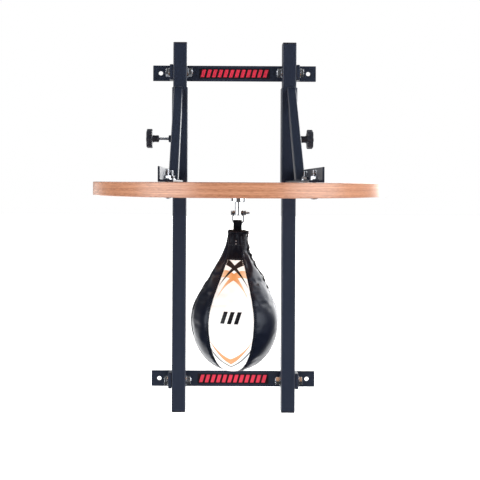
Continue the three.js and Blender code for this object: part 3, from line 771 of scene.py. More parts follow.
def post_cap(name, side, end):
    """A pressed-in cap: a softly rounded plate, a shallow panel line and a ribbed plug."""
    low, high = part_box(f"{name}_post_{end}_cap")
    outline = rectangle(POST["size"], POST["size"], POST["corner"])
    inside = POST["size"] - 2 * POST["wall"] - 1.6 * MM
    solids = [plate(outline, CAP["plate"], CAP["edge"], steps=5),
              moved(plate(rectangle(26 * MM, 26 * MM, 3 * MM), 0.8 * MM, 0.35 * MM),
                    at(0, 0, CAP["plate"] - 0.3 * MM))]
    solids.append(moved(plate(rectangle(inside - 2 * MM, inside - 2 * MM, 1 * MM), CAP["plug"], 0.5 * MM),
                        at(0, 0, 0.3 * MM - CAP["plug"])))
    for rib in range(3):
        fin = plate(rectangle(inside, inside, 1.4 * MM), 1.2 * MM, 0.4 * MM)
        solids.append(moved(fin, at(0, 0, -(3 + 4 * rib) * MM)))
    base = high.z - CAP["plate"] if end == "top" else low.z + CAP["plate"]
    turn = Matrix.Identity(4) if end == "top" else UPSIDE_DOWN
    place = at(side * POST_X, POST_Y, base) @ turn
    thing = make(f"{name}_{end}_end_cap", [moved(solid, place) for solid in solids], [plastic])
    keep(thing, "wall_frame", "black_plastic", f"{name}_post_{end}_cap")


# ---------------------------------------------------------------- threads, bolts and nuts


def hexagon(across_flats, bevel_depth):
    """The reach of a hexagon whose corners are turned off near a face, at bevel_depth from it."""
    half = across_flats / 2

    def reach(angles):
        flats = half / np.cos((angles + TURN / 12) % (TURN / 6) - TURN / 12)
        return np.minimum(flats, half * 0.95 + bevel_depth * 1.73)
    return reach


def hex_rows(across_flats, start, end, bevel_start=True, bevel_end=True):
    """Rows of a hexagonal prism from start up to end, either face with its corners turned off."""
    fade = across_flats * 0.062
    steps = [0, 0.25, 0.5, 0.75, 1.0]
    rows = []
    if bevel_start:
        rows += [(hexagon(across_flats, fade * step), start + fade * step) for step in steps]
    else:
        rows.append((hexagon(across_flats, fade * 2), start))
    if bevel_end:
        rows += [(hexagon(across_flats, fade * step), end - fade * step) for step in reversed(steps)]
    else:
        rows.append((hexagon(across_flats, fade * 2), end))
    return rows


def thread_rows(radius, pitch, start, end):
    """Rows of a right-hand thread from start up to end, fading out at the start."""
    depth = 0.58 * pitch
    rows = []
    for height in np.arange(start, end, pitch / THREAD_ROWS):
        fade = min((height - start) / (2 * pitch), 1)

        def reach(angles, height=height, fade=fade):
            turn = (height / pitch - angles / TURN) % 1
            ridge = np.clip(np.abs(2 * turn - 1) * 1.35 - 0.12, 0, 1)
            return radius - depth * fade * (1 - ridge)
        rows.append((reach, height))
    return rows


def hex_bolt(across_flats, head, shank, pitch, length, threaded):
    """A bolt about Z: its head goes up from 0, its shank goes down by length and ends in a thread."""
    tip = 1.2 * MM
    rows = [(0.2 * MM, -length), (shank - tip, -length)]
    threads = thread_rows(shank, pitch, 0, threaded - tip)
    rows += [(lambda angles, reach=reach: np.minimum(reach(angles), shank),
              -length + tip + (threaded - tip) - height) for reach, height in reversed(threads)]
    rows += [(shank, -0.4 * MM), (shank + 0.4 * MM, 0), (across_flats * 0.47, 0),
             (across_flats * 0.47, 0.4 * MM)]
    rows += hex_rows(across_flats, 0.4 * MM, head, bevel_start=False)
    rows += [(across_flats * 0.36, head), (across_flats * 0.34, head - 0.25 * MM),
             (0.2 * MM, head - 0.25 * MM)]
    return turned(rows, 48)


def hex_nut(across_flats, bore, height):
    return turned(hex_rows(across_flats, 0, height)
                  + [(bore + 0.7 * MM, height), (bore, height - 0.7 * MM), (bore, 0.7 * MM),
                     (bore + 0.7 * MM, 0)], 48, wrap=True)


def washer(outer, bore, thickness):
    return plate(circle(outer, sides=64), thickness, 0.35 * MM, [circle(bore)])


def frame_fasteners(level, name, side):
    """An M12 bolt, two washers and a nut through ear and post, along X, head on the outside."""
    prefix = f"{level}_{name}_frame"
    height = middle(f"{prefix}_bolt").z
    spin = Matrix.Rotation(0.35 + 1.1 * (side > 0) + 0.6 * (level == "upper"), 4, "Z")
    outward = at(0, POST_Y, height) @ facing(side)

    def near_and_far(node):
        low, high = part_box(node)
        return sorted((abs(low.x), abs(high.x)))
    tip, top = near_and_far(f"{prefix}_bolt")
    under_head = near_and_far(f"{prefix}_head_washer")[1] + 0.3 * MM
    bolt = hex_bolt(19 * MM, top - under_head, 6 * MM, M12_PITCH, under_head - tip, 14 * MM)
    nut = hex_nut(19 * MM, 6.2 * MM, 10 * MM)
    disc = washer(12 * MM, 6.5 * MM, 2.5 * MM)
    for part, solid, start in (("bolt", bolt, under_head),
                               ("head_washer", disc, near_and_far(f"{prefix}_head_washer")[0]),
                               ("nut_washer", disc, near_and_far(f"{prefix}_nut_washer")[0]),
                               ("nut", nut, near_and_far(f"{prefix}_nut")[0])):
        place = outward @ at(start, 0, 0) @ ALONG_X @ spin
        thing = make(f"{level}_{name}_m12_{part}", [moved(solid, place)], [zinc])
        keep(thing, "wall_frame", "zinc", f"{prefix}_{part}")


for level in LEVELS:
    crossbar(level)
for name, side in SIDES.items():
    post(name, side)
    for end in ("top", "bottom"):
        post_cap(name, side, end)
    for level in LEVELS:
        frame_fasteners(level, name, side)

# ---------------------------------------------------------------- sliding carriage

SLEEVE = {"size": 40 * MM, "wall": 2 * MM, "corner": 3 * MM, "boss_radius": 9 * MM, "bore": 4.2 * MM}
BOARD_EASE = 1.8 * MM
BOARD_BOLT = {"shank": 4 * MM, "hole": 4.5 * MM, "x": 142 * MM, "dome": 10 * MM, "dome_height": 4.5 * MM}
ANGLE = {"leg": 30 * MM, "thickness": 4 * MM}
BRACE = {"width": 22 * MM, "wall": 2 * MM, "corner": 2.4 * MM}
SCREW = {"circle": 23.5 * MM, "count": 3, "head": 4.2 * MM}
ROWS = ("front", "middle", "back")

board_low, board_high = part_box("platform_board")
BOARD_Y = (board_low.y + board_high.y) / 2
BOARD_RADIUS = (board_high.x - board_low.x) / 2
sleeve_low, sleeve_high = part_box("right_sleeve")
BOSS_Z = middle("right_lock_knob").z
SLEEVE_FACE = POST_X + SLEEVE["size"] / 2


def screw_places():
    for i in range(SCREW["count"]):
        angle = TURN / 4 + i / SCREW["count"] * TURN
        yield SCREW["circle"] * math.cos(angle), BOARD_Y + SCREW["circle"] * math.sin(angle)


def board():
    thickness = board_high.z - board_low.z
    rim = arc((BOARD_RADIUS - BOARD_EASE, BOARD_EASE), BOARD_EASE, -90, 0)
    rim += arc((BOARD_RADIUS - BOARD_EASE, thickness - BOARD_EASE), BOARD_EASE, 0, 90)
    disc = turned([(0.02, 0), *rim, (0.02, thickness)], 256)
    thing = make("round_board", [moved(disc, at(0, BOARD_Y, board_low.z))],
                 [plywood_edge(board_low.z, thickness), plywood_face()])
    cuts = []
    for side in SIDES.values():
        for row in ROWS:
            place = middle(f"left_{row}_board_bolt")
            x = side * BOARD_BOLT["x"]
            cuts.append(rod(BOARD_BOLT["hole"], (x, place.y, board_low.z - 0.01),
                            (x, place.y, board_high.z + 0.01), 32))
    for x, y in screw_places():
        cuts.append(rod(2.4 * MM, (x, y, board_low.z - 0.01), (x, y, board_low.z + 18 * MM), 24))
    combine(thing, cuts)
    finish_surface(thing, paint=lambda centre, normal: int(abs(normal.z) > 0.9))
    keep(thing, "carriage", "plywood", "platform_board")


def sleeve(name, side):
    low, high = sleeve_low, sleeve_high
    outer = rectangle(SLEEVE["size"], SLEEVE["size"], SLEEVE["corner"])
    inner = rectangle(SLEEVE["size"] - 2 * SLEEVE["wall"], SLEEVE["size"] - 2 * SLEEVE["wall"],
                      SLEEVE["corner"] - SLEEVE["wall"])
    wall = plate(outer, high.z - low.z, 0.5 * MM, [inner])
    thing = make(f"{name}_slide_sleeve", [moved(wall, at(side * POST_X, POST_Y, low.z))], [paint])
    face = side * SLEEVE_FACE
    combine(thing, [rod(SLEEVE["bore"], (face - side * 5 * MM, POST_Y, BOSS_Z),
                        (face + side * 3 * MM, POST_Y, BOSS_Z))])
    keep(thing, "carriage", "frame_paint", f"{name}_sleeve")

    reach = high.x - SLEEVE_FACE
    radius, bore = SLEEVE["boss_radius"], SLEEVE["bore"]
    boss = turned([(radius, 0), (radius, reach - 1 * MM), (radius - 1 * MM, reach),
                   (bore + 0.8 * MM, reach), (bore, reach - 0.8 * MM), (bore, 0)], wrap=True)
    place = at(0, POST_Y, BOSS_Z) @ facing(side) @ at(SLEEVE_FACE, 0, 0) @ ALONG_X
    angles = np.linspace(0, TURN, 65)
    ring = np.stack([(radius + 0.3 * MM) * np.cos(angles), (radius + 0.3 * MM) * np.sin(angles),
                     angles * 0 + 0.6 * MM], 1)
    bead = tube(ring, 1.8 * MM * (1 + 0.15 * np.cos(angles * 30)), 10)
    thing = make(f"{name}_threaded_boss", [moved(boss, place), moved(bead, place)], [paint])
    keep(thing, "carriage", "frame_paint")


def angle_iron(name, side):
    low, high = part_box(f"{name}_angle_iron")
    leg, thick = ANGLE["leg"], ANGLE["thickness"]
    section = rounded([(0, 0, 1.2 * MM), (leg, 0, 0.8 * MM), (leg, thick, 2.2 * MM),
                       (thick, thick, 3.0 * MM), (thick, leg, 2.2 * MM), (0, leg, 0.8 * MM)])
    if side > 0:
        section = (section * (-1, 1))[::-1]
    iron = plate(section, high.y - low.y, 0.5 * MM)
    outer = side * SLEEVE_FACE
    place = at(outer, high.y, low.z) @ TOWARDS_ROOM
    thing = make(f"{name}_angle_rail", [moved(iron, place)], [paint])
    cuts = []
    for row in ROWS:
        y = middle(f"{name}_{row}_board_bolt").y
        x = side * BOARD_BOLT["x"]
        cuts.append(rod(BOARD_BOLT["hole"], (x, y, low.z - 0.01), (x, y, low.z + 0.01), 32))
    combine(thing, cuts)
    keep(thing, "carriage", "frame_paint", f"{name}_angle_iron")


def brace(name, side):
    """A square tube cut upright at the sleeve and flat at the angle iron."""
    low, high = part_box(f"{name}_brace")
    width, wall = BRACE["width"], BRACE["wall"]
    slope = math.atan2(high.z - low.z, high.y - low.y)
    along = Vector((0, -math.cos(slope), -math.sin(slope)))
    upward = Vector((0, -math.sin(slope), math.cos(slope)))
    top_edge = Vector((side * abs(middle(f"{name}_brace").x), high.y, high.z))

    def ends(outline):
        top, foot = [], []
        for across, up in outline:
            point = top_edge + Vector((across, 0, 0)) + upward * (up - width / 2)
            top.append(point + along * ((high.y - point.y) / along.y))
            foot.append(point + along * ((low.z - point.z) / along.z))
        return top, foot
    outer_top, outer_foot = ends(rectangle(width, width, BRACE["corner"]))
    inner_top, inner_foot = ends(rectangle(width - 2 * wall, width - 2 * wall, 0.6 * MM))
    solid = loft([[tuple(p) for p in ring] for ring in (outer_top, outer_foot, inner_foot, inner_top)],
                 wrap=True)
    thing = make(f"{name}_brace_tube", [solid], [paint])
    keep(thing, "carriage", "frame_paint", f"{name}_brace")

    edge = abs(top_edge.x) + width / 2
    near = abs(top_edge.x) - width / 2
    front = high.y + 0.1 * MM
    beads = [weld((side * near, front, high.z), (side * edge, front, high.z), 2.2 * MM)]
    drop = width / math.cos(slope)
    for x in (near, edge):
        beads.append(weld((side * x, front, high.z - 2 * MM), (side * x, front, high.z - drop), 1.8 * MM))
        beads.append(weld((side * x, low.y + 3 * MM, low.z), (side * x, low.y + 3 * MM + width / math.sin(slope)
                                                              - 6 * MM, low.z), 2.0 * MM))
    beads.append(weld((side * near, low.y, low.z), (side * edge, low.y, low.z), 2.2 * MM))
    rail_low, rail_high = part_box(f"{name}_angle_iron")
    inner = SLEEVE_FACE - ANGLE["leg"]
    beads.append(weld((side * (inner + 2 * MM), rail_high.y, rail_low.z + ANGLE["thickness"]),
                      (side * (SLEEVE_FACE - 6 * MM), rail_high.y, rail_low.z + ANGLE["thickness"]), 2.0 * MM))
    beads.append(weld((side * (SLEEVE_FACE - ANGLE["thickness"]), rail_high.y, rail_low.z + 6 * MM),
                      (side * (SLEEVE_FACE - ANGLE["thickness"]), rail_high.y, rail_high.z - 2 * MM),
                      1.9 * MM))
    thing = make(f"{name}_weld_beads", beads, [paint])
    keep(thing, "carriage", "frame_paint")


def carriage_bolt():
    """A domed head under the board and a threaded shank up through it."""
    dome, rise = BOARD_BOLT["dome"], BOARD_BOLT["dome_height"]
    shank = BOARD_BOLT["shank"]
    rows = [(max(dome * math.sin(a), 0.2 * MM), -rise * math.cos(a))
            for a in np.linspace(0, math.pi / 2, 9)]
    rows += [(dome - 0.2 * MM, 0.2 * MM), (shank, 0.2 * MM), (shank, 30 * MM)]
    low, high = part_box("right_front_board_bolt")
    length = high.z - low.z - rise
    rows += thread_rows(shank, M8_PITCH, 30 * MM, length - 1 * MM)
    rows += [(shank - 0.9 * MM, length), (0.2 * MM, length)]
    return turned(rows, 32)


def flange_nut():
    flange, lip, height = 9 * MM, 1.8 * MM, 8 * MM
    bore = BOARD_BOLT["shank"] + 0.15 * MM
    rows = [(flange - 0.5 * MM, 0), (flange, 0.5 * MM), (flange - 0.2 * MM, 1.1 * MM),
            (7.6 * MM, lip + 0.5 * MM)]
    rows += hex_rows(13 * MM, lip + 0.9 * MM, height, bevel_start=False)
    rows += [(bore + 0.6 * MM, height), (bore, height - 0.6 * MM), (bore, 0.6 * MM), (bore + 0.6 * MM, 0)]
    return turned(rows, 48, wrap=True)


board()
bolt_solid, nut_solid = carriage_bolt(), flange_nut()
for name, side in SIDES.items():
    sleeve(name, side)
    angle_iron(name, side)
    brace(name, side)
    for k, row in enumerate(ROWS):
        node = f"{name}_{row}_board"
        bolt_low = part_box(node + "_bolt")[0]
        place = middle(node + "_bolt")
        thing = make(f"{name}_{row}_carriage_bolt",
                     [moved(bolt_solid, at(place.x, place.y, bolt_low.z + BOARD_BOLT["dome_height"]))], [zinc])
        keep(thing, "carriage", "zinc", node + "_bolt")
        turn = Matrix.Rotation(0.4 * k + 0.9 * side, 4, "Z")
        thing = make(f"{name}_{row}_flange_nut",
                     [moved(nut_solid, at(place.x, place.y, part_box(node + "_nut")[0].z) @ turn)], [zinc])
        keep(thing, "carriage", "zinc", node + "_nut")

# ---------------------------------------------------------------- lock knobs

KNOB = {"radius": 25 * MM, "head": 15 * MM, "lobes": 7, "valley": 4.2 * MM, "hub": 9 * MM,
        "hub_length": 17 * MM, "edge": 2.4 * MM, "dish": 13 * MM}


def star_knob():
    """About Z: the hub's face is at 0, and the lobed head with its dished face is beyond the hub."""
    hub, start, edge = KNOB["hub"], KNOB["hub_length"], KNOB["edge"]
    end = start + KNOB["head"]
    hole = 4.15 * MM

    def lobed(back, share):
        def reach(angles):
            wave = (1 - np.cos(KNOB["lobes"] * angles)) / 2
            return KNOB["radius"] - back - KNOB["valley"] * wave ** 1.4 * share
        return reach
    rows = [(hole, 12 * MM), (hole, 0.4 * MM), (6.0 * MM, 0), (6.2 * MM, 0.5 * MM), (hub - 1.2 * MM, 0.5 * MM),
            (hub - 0.4 * MM, 1.2 * MM), (hub, 3 * MM), (hub - 0.5 * MM, 11 * MM), (hub + 0.6 * MM, start - 1.2 * MM)]
    rows += [(lambda angles, s=s: hub * (1 - s) + s * lobed(edge, 1)(angles), start - 1.2 * MM + s * 1.2 * MM)
             for s in (0.35, 0.7, 1.0)]
    for a in np.linspace(0.15, 1, 5) * math.pi / 2:
        rows.append((lobed(edge * (1 - math.sin(a)), 1), start + edge * (1 - math.cos(a))))
    for a in np.linspace(1, 0, 6) * math.pi / 2:
        rows.append((lobed(edge * (1 - math.sin(a)), 1), end - edge * (1 - math.cos(a))))
    dish = KNOB["dish"]
    rows += [(dish + 0.8 * MM, end), (dish, end - 0.5 * MM), (dish - 1.0 * MM, end - 1.6 * MM),
             (0.5 * dish, end - 2.2 * MM), (0.2 * MM, end - 2.4 * MM)]
    solid = turned([(0.2 * MM, 12 * MM)] + rows, 168)
    return solid


def lock_bolt():
    radius, insert, reach = 3.85 * MM, 12 * MM, 35 * MM
    rows = [(0.2 * MM, -reach), (radius - 1.4 * MM, -reach), (radius - 1.1 * MM, 3 * MM - reach)]
    rows += thread_rows(radius, M8_PITCH, 3.2 * MM - reach, 1 * MM)
    rows += [(radius, 1.5 * MM), (radius, insert - 0.4 * MM), (0.2 * MM, insert - 0.4 * MM)]
    return turned(rows, 40)


for name, side in SIDES.items():
    low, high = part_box(f"{name}_lock_knob")
    hub_face = min(abs(low.x), abs(high.x))
    place = at(0, POST_Y, BOSS_Z) @ facing(side) @ at(hub_face, 0, 0) @ ALONG_X
    turn = Matrix.Rotation(0.2 + 0.35 * side, 4, "Z")
    thing = make(f"{name}_star_knob", [moved(star_knob(), place @ turn)], [plastic])
    keep(thing, f"{name}_lock_handle", "black_plastic", f"{name}_lock_knob")
    thing = make(f"{name}_lock_screw_rod", [moved(lock_bolt(), place)], [zinc])
    keep(thing, f"{name}_lock_screw", "zinc", f"{name}_lock_bolt")

# ---------------------------------------------------------------- swivel and shackle

UNDER = board_low.z
SWIVEL = {"plate": 31 * MM, "body": 16 * MM, "height": 14 * MM, "cavity": 12.6 * MM, "mouth": 7.7 * MM}
PIN_Z = middle("shackle_pin_nut").z
WIRE = 1.6 * MM
EYE_X = 9.2 * MM


def swivel_base():
    plate_r, body, deep = SWIVEL["plate"], SWIVEL["body"], SWIVEL["height"]
    rows = [(SWIVEL["mouth"], -deep + 0.8 * MM), (SWIVEL["mouth"] + 0.8 * MM, -deep)]
    rows += arc((body - 2 * MM, -deep + 2 * MM), 2 * MM, -90, 0, 5)
    rows += arc((body + 2 * MM, -5.3 * MM), 2 * MM, 180, 90, 5)
    rows += arc((plate_r - 1.2 * MM, -2.1 * MM), 1.2 * MM, -90, 0, 4)
    rows += [(plate_r, -0.3 * MM), (SWIVEL["cavity"], -0.3 * MM), (SWIVEL["cavity"], 4 * MM - deep),
             (SWIVEL["mouth"], 4 * MM - deep)]
    thing = make("swivel_housing", [moved(turned(rows, 96, wrap=True), at(0, BOARD_Y, UNDER))], [chrome])
    combine(thing, [rod(2.5 * MM, (x, y, UNDER - 0.02), (x, y, UNDER + 0.01), 32) for x, y in screw_places()])
    keep(thing, "carriage", "chrome", "swivel_base")


def swivel_bearing():
    centre = middle("swivel_bearing")
    ball, orbit, count = 1.4 * MM, 10 * MM, 14
    rings = [moved(washer(12.2 * MM, 7.8 * MM, 0.7 * MM), at(0, 0, z)) for z in (-1.5 * MM, 0.8 * MM)]
    bead = turned([(max(ball * math.cos(a), 0.05 * MM), ball * math.sin(a))
                   for a in np.linspace(-math.pi / 2, math.pi / 2, 9)], 16)
    balls = [moved(bead, Matrix.Rotation(i / count * TURN, 4, "Z") @ at(orbit, 0, 0)) for i in range(count)]
    thing = make("thrust_bearing", [moved(solid, at(*centre)) for solid in rings + balls], [zinc])
    keep(thing, "carriage", "zinc", "swivel_bearing")


def wood_screw(number, x, y):
    head = SCREW["head"]
    low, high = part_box(f"swivel_screw_{number}")
    rise = 2.4 * MM
    rows = [(max(head * math.sin(a), 0.2 * MM), -rise * math.cos(a)) for a in np.linspace(0, math.pi / 2, 8)]
    rows += [(2.1 * MM, 0.1 * MM), (2.1 * MM, 2 * MM)]
    rows += [(lambda angles, reach=reach, h=h: reach(angles) * min(1, (16 * MM - h) / (5 * MM)), h)
             for reach, h in thread_rows(2.1 * MM, 1.6 * MM, 2 * MM, 15.6 * MM)]
    place = at(x, y, low.z + rise)
    thing = make(f"swivel_wood_screw_{number}", [moved(turned(rows, 24), place)], [zinc])
    slot = plate(rectangle(5.2 * MM, 1.1 * MM, 0.2 * MM), 3 * MM, 0.1 * MM)
    turn = Matrix.Rotation(0.5 * number, 4, "Z")
    cross = [moved(slot, place @ turn @ Matrix.Rotation(a, 4, "Z") @ at(0, 0, -rise - 1.6 * MM))
             for a in (0, TURN / 4)]
    combine(thing, cross)
    keep(thing, "carriage", "zinc", f"swivel_screw_{number}")


def swivel_stem():
    low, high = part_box("swivel_stem")
    radius, head = 7 * MM, 12 * MM
    length = high.z - low.z
    head_foot = length - 3.6 * MM
    rows = [(0.2 * MM, 0)] + arc((radius - 1.6 * MM, 1.6 * MM), 1.6 * MM, -90, 0, 4)
    rows += [(radius, head_foot - 0.5 * MM), (radius + 0.5 * MM, head_foot), (head - 0.4 * MM, head_foot),
             (head, head_foot + 0.4 * MM), (head, length - 0.4 * MM), (head - 0.4 * MM, length),
             (0.2 * MM, length)]
    thing = make("swivel_spindle", [moved(turned(rows, 64), at(0, BOARD_Y, low.z))], [chrome])
    combine(thing, [rod(2.9 * MM, (-0.02, BOARD_Y, PIN_Z), (0.02, BOARD_Y, PIN_Z), 32)])
    keep(thing, "swivel", "chrome", "swivel_stem")


def shackle_pin():
    low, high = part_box("shackle_pin")
    nut_low, nut_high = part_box("shackle_pin_nut")
    under_head = low.x + 4 * MM
    outward = at(0, BOARD_Y, PIN_Z) @ facing(-1) @ at(-under_head, 0, 0) @ ALONG_X
    bolt = hex_bolt(8 * MM, 4 * MM, 2.5 * MM, M5_PITCH, high.x - under_head, 15 * MM)
    thing = make("shackle_cross_pin", [moved(bolt, outward)], [zinc])
    keep(thing, "swivel", "zinc", "shackle_pin")
    nut = hex_nut(8 * MM, 2.6 * MM, nut_high.x - nut_low.x)
    thing = make("shackle_lock_nut", [moved(nut, at(nut_low.x, BOARD_Y, PIN_Z) @ ALONG_X)], [zinc])
    keep(thing, "swivel", "zinc", "shackle_pin_nut")


def shackle():
    """A bow of round wire, flat along its bottom, with a drilled eye at each end."""
    low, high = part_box("shackle")
    bottom = low.z + WIRE
    half = high.x - WIRE
    side = [(EYE_X, PIN_Z - 3.6 * MM), (half - 0.4 * MM, PIN_Z - 7 * MM), (half, PIN_Z - 12 * MM),
            (half - 0.3 * MM, bottom + 4.2 * MM), (half - 1.4 * MM, bottom + 1.3 * MM),
            (half - 4 * MM, bottom)]
    points = side + [(4 * MM, bottom), (-4 * MM, bottom)] + [(-x, z) for x, z in reversed(side)]
    path = curve_through([(x, BOARD_Y, z) for x, z in points], 7)
    eye = plate(circle(5 * MM), 3.6 * MM, 0.7 * MM, [circle(2.9 * MM, sides=32)])
    solids = [tube(path, WIRE, 20)]
    solids += [moved(eye, at(x, BOARD_Y, PIN_Z) @ ALONG_X) for x in (7.4 * MM, -11.0 * MM)]
    thing = make("shackle_bow_wire", solids, [nickel])
    keep(thing, "shackle_bow", "chrome", "shackle")


swivel_base()
swivel_bearing()
for number, (x, y) in enumerate(screw_places(), 1):
    wood_screw(number, x, y)
swivel_stem()
shackle_pin()
shackle()

# ---------------------------------------------------------------- bag: its shape

# Heights are from the bottom of the shackle's bow, which is the bag's own origin.
# Azimuths are seen from above: 0 faces the room and 90 degrees faces +X.
BAG = {"radius": 93 * MM, "neck": 20.0 * MM, "neck_z": -22.5 * MM, "widest": -204.5 * MM,
       "bottom": -313.8 * MM, "skin": 2.6 * MM, "lean": 1.5, "aside": -0.8 * MM}
SEAMS = [math.radians(a) for a in (-37.7, 24.2, 84, 142.3, 204.2, 280)]
LACE_SEAM = SEAMS[2]
WHITE_GORES = (0, 3)
GORE_MIDDLE = (SEAMS[0] + SEAMS[1]) / 2
COLUMNS = (18, 17, 17, 18, 22, 12)
ROWS_UP = 66
STRIPES = {"height": 188 * MM, "half_height": 12 * MM, "pitch": 14 * MM, "count": 3, "share": 0.6,
           "slant": 0.28}
TONGUE = {"half_width": 17.4 * MM, "top": -24 * MM, "bottom": -76.8 * MM, "thickness": 1.5 * MM}
SWELL = {"start_inset": 1.7 * MM, "seam_inset": 0.9 * MM, "growth": 0.018, "cap": 4.5 * MM,
         "pressure": 5.0, "frames": 20}
LACE = {"radius": 1.25 * MM, "eyelets": 7, "first": -44 * MM, "last": -134 * MM, "half_gap": 5.2 * MM}

bow = next(joint for joint in frame["record"]["behaviour"]["joints"] if joint["name"] == "bag_swing")
BAG_PLACE = at(*bow["pos_m"]) @ at(BAG["aside"], 0, 0) @ Matrix.Rotation(math.radians(BAG["lean"]), 4, "Y")


def pear(count, back=0.0):
    """The bag's outline, pole first, as evenly spaced (radius, height), drawn in by back."""
    angles = np.linspace(0, math.pi / 2, 60)
    widest, neck_z = BAG["widest"], BAG["neck_z"]
    belly = np.stack([(BAG["radius"] - back) * np.sin(angles),
                      widest + (BAG["bottom"] + back - widest) * np.cos(angles)], 1)
    corners = np.array([(BAG["radius"] - back, widest), (BAG["radius"] - back, widest + 55 * MM),
                        (BAG["neck"] + 8.4 * MM - back, neck_z - 67 * MM), (BAG["neck"] - back, neck_z)])
    t = np.linspace(0, 1, 90)[1:, None]
    shoulder = ((1 - t) ** 3 * corners[0] + 3 * t * (1 - t) ** 2 * corners[1]
                + 3 * t ** 2 * (1 - t) * corners[2] + t ** 3 * corners[3])
    outline = np.vstack([belly, shoulder])
    length = np.concatenate([[0], np.cumsum(np.linalg.norm(np.diff(outline, axis=0), axis=1))])
    even = np.linspace(0, length[-1], count)
    return np.stack([np.interp(even, length, outline[:, k]) for k in (0, 1)], 1)


OUTLINE = pear(400)
OUTLINE_LENGTH = np.linalg.norm(np.diff(OUTLINE, axis=0), axis=1).sum()


def share_at(height):
    """How far up the outline a height lies, from 0 at the pole to 1 at the neck."""
    return float(np.interp(height, OUTLINE[:, 1], np.linspace(0, 1, len(OUTLINE))))


def round_at(azimuth, radius, height):
    return np.array([radius * math.sin(azimuth), -radius * math.cos(azimuth), height])


def to_seam(azimuths):
    """The signed angle from each azimuth to its nearest seam."""
    gaps = [(azimuths - seam + math.pi) % TURN - math.pi for seam in SEAMS]
    return np.take_along_axis(np.array(gaps), np.argmin(np.abs(gaps), axis=0)[None], axis=0)[0]


def column_azimuths():
    """Where the mesh's columns stand: whole numbers of them in each gore, one on each seam."""
    azimuths = []
    for start, end, count in zip(SEAMS, SEAMS[1:] + [SEAMS[0] + TURN], COLUMNS):
        azimuths += list(np.linspace(start, end, count + 1)[:-1])
    return np.array(azimuths)


def sewn_panels():
    """The gores before they are blown up: a little slack between the seams."""
    azimuths = column_azimuths()
    gap = np.abs(to_seam(azimuths))
    slack = np.clip(gap / math.radians(12), 0, 1)
    back = SWELL["seam_inset"] + (SWELL["start_inset"] - SWELL["seam_inset"]) * slack
    rings = []
    for radius, height in pear(ROWS_UP):
        reach = np.maximum(radius - back * min(radius / (30 * MM), 1), 0.6 * MM)
        rings.append(np.stack([reach * np.sin(azimuths), -reach * np.cos(azimuths),
                               np.full(len(azimuths), height)], 1))
    points, faces = loft(rings)
    return points, faces[:-1]


def blow_up(thing, held):
    """Cloth simulation: air pressure swells the panels between the points that are held."""
    group = thing.vertex_groups.new(name="held")
    for index, weight in held.items():
        group.add([index], weight, "REPLACE")
    cloth = thing.modifiers.new("cloth", "CLOTH")
    cloth.settings.vertex_group_mass = "held"
    cloth.settings.quality = 6
    cloth.settings.mass = 0.3
    cloth.settings.tension_stiffness = cloth.settings.compression_stiffness = 30
    cloth.settings.shear_stiffness = 15
    cloth.settings.bending_stiffness = 2
    cloth.settings.shrink_min = -SWELL["growth"]
    cloth.settings.use_pressure = True
    cloth.settings.uniform_pressure_force = SWELL["pressure"]
    cloth.settings.effector_weights.gravity = 0
    cloth.collision_settings.use_collision = False
    cloth.point_cache.frame_start, cloth.point_cache.frame_end = 1, SWELL["frames"]
    before = np.array([v.co for v in thing.data.vertices])
    for number in range(1, SWELL["frames"] + 1):
        scene.frame_set(number)
    seen = thing.evaluated_get(bpy.context.evaluated_depsgraph_get())
    after = np.array([v.co for v in seen.data.vertices])
    thing.modifiers.clear()
    thing.vertex_groups.clear()
    scene.frame_set(1)
    shift = after - before
    far = np.linalg.norm(shift, axis=1)
    print("cloth moved up to", round(far.max() * 1000, 2), "mm, middle", round(np.median(far) * 1000, 2))
    shift *= np.minimum(1, SWELL["cap"] / np.maximum(far, 1e-9))[:, None]
    thing.data.vertices.foreach_set("co", (before + shift).ravel())


def leather_details(points, normals):
    """How far each point of the blown-up skin moves along its normal, for seams, puckers and folds."""
    radius = np.hypot(points[:, 0], points[:, 1])
    azimuth = np.arctan2(points[:, 0], -points[:, 1])
    height = points[:, 2]
    angle = to_seam(azimuth)
    away = np.abs(angle) * radius
    open_out = np.clip((radius - 6 * MM) / (24 * MM), 0, 1)
    groove = -1.5 * MM * np.exp(-(away / (2.6 * MM)) ** 2) * open_out
    pucker = (0.30 * MM * np.sin(height / (8.4 * MM) * TURN + 3 * np.sign(angle))
              * np.exp(-((away - 5 * MM) / (4.5 * MM)) ** 2) * open_out)
    near_neck = np.exp((height - BAG["neck_z"]) / (17 * MM))
    gather = near_neck * MM * (0.9 * np.cos(azimuth * 17 + 0.8) + 0.5 * np.cos(azimuth * 29 + height / (6 * MM)))
    broad = 0.35 * MM * (np.sin(azimuth * 5 + height / (21 * MM)) + np.sin(azimuth * 7 - height / (33 * MM) + 1))
    lacing = ((height > LACE["last"] - 4 * MM) & (np.abs((azimuth - LACE_SEAM + math.pi) % TURN - math.pi) * radius
                                                < 9 * MM))
    across = np.abs((azimuth - LACE_SEAM + math.pi) % TURN - math.pi) * radius
    slit = -1.6 * MM * np.exp(-(across / (2.2 * MM)) ** 2) * lacing
    pull = np.zeros(len(points))
    for i in range(LACE["eyelets"]):
        level = LACE["first"] + i * (LACE["last"] - LACE["first"]) / (LACE["eyelets"] - 1)
        near = np.exp(-((height - level) / (4 * MM)) ** 2 - ((across - LACE["half_gap"]) / (4 * MM)) ** 2)
        pull -= 0.9 * MM * near
    return groove + pucker + gather + broad * open_out + slit + pull


def gore_of(azimuth):
    turned_on = (azimuth - SEAMS[0]) % TURN
    edges = [seam - SEAMS[0] for seam in SEAMS[1:]] + [TURN]
    return next(i for i, edge in enumerate(edges) if turned_on < edge)


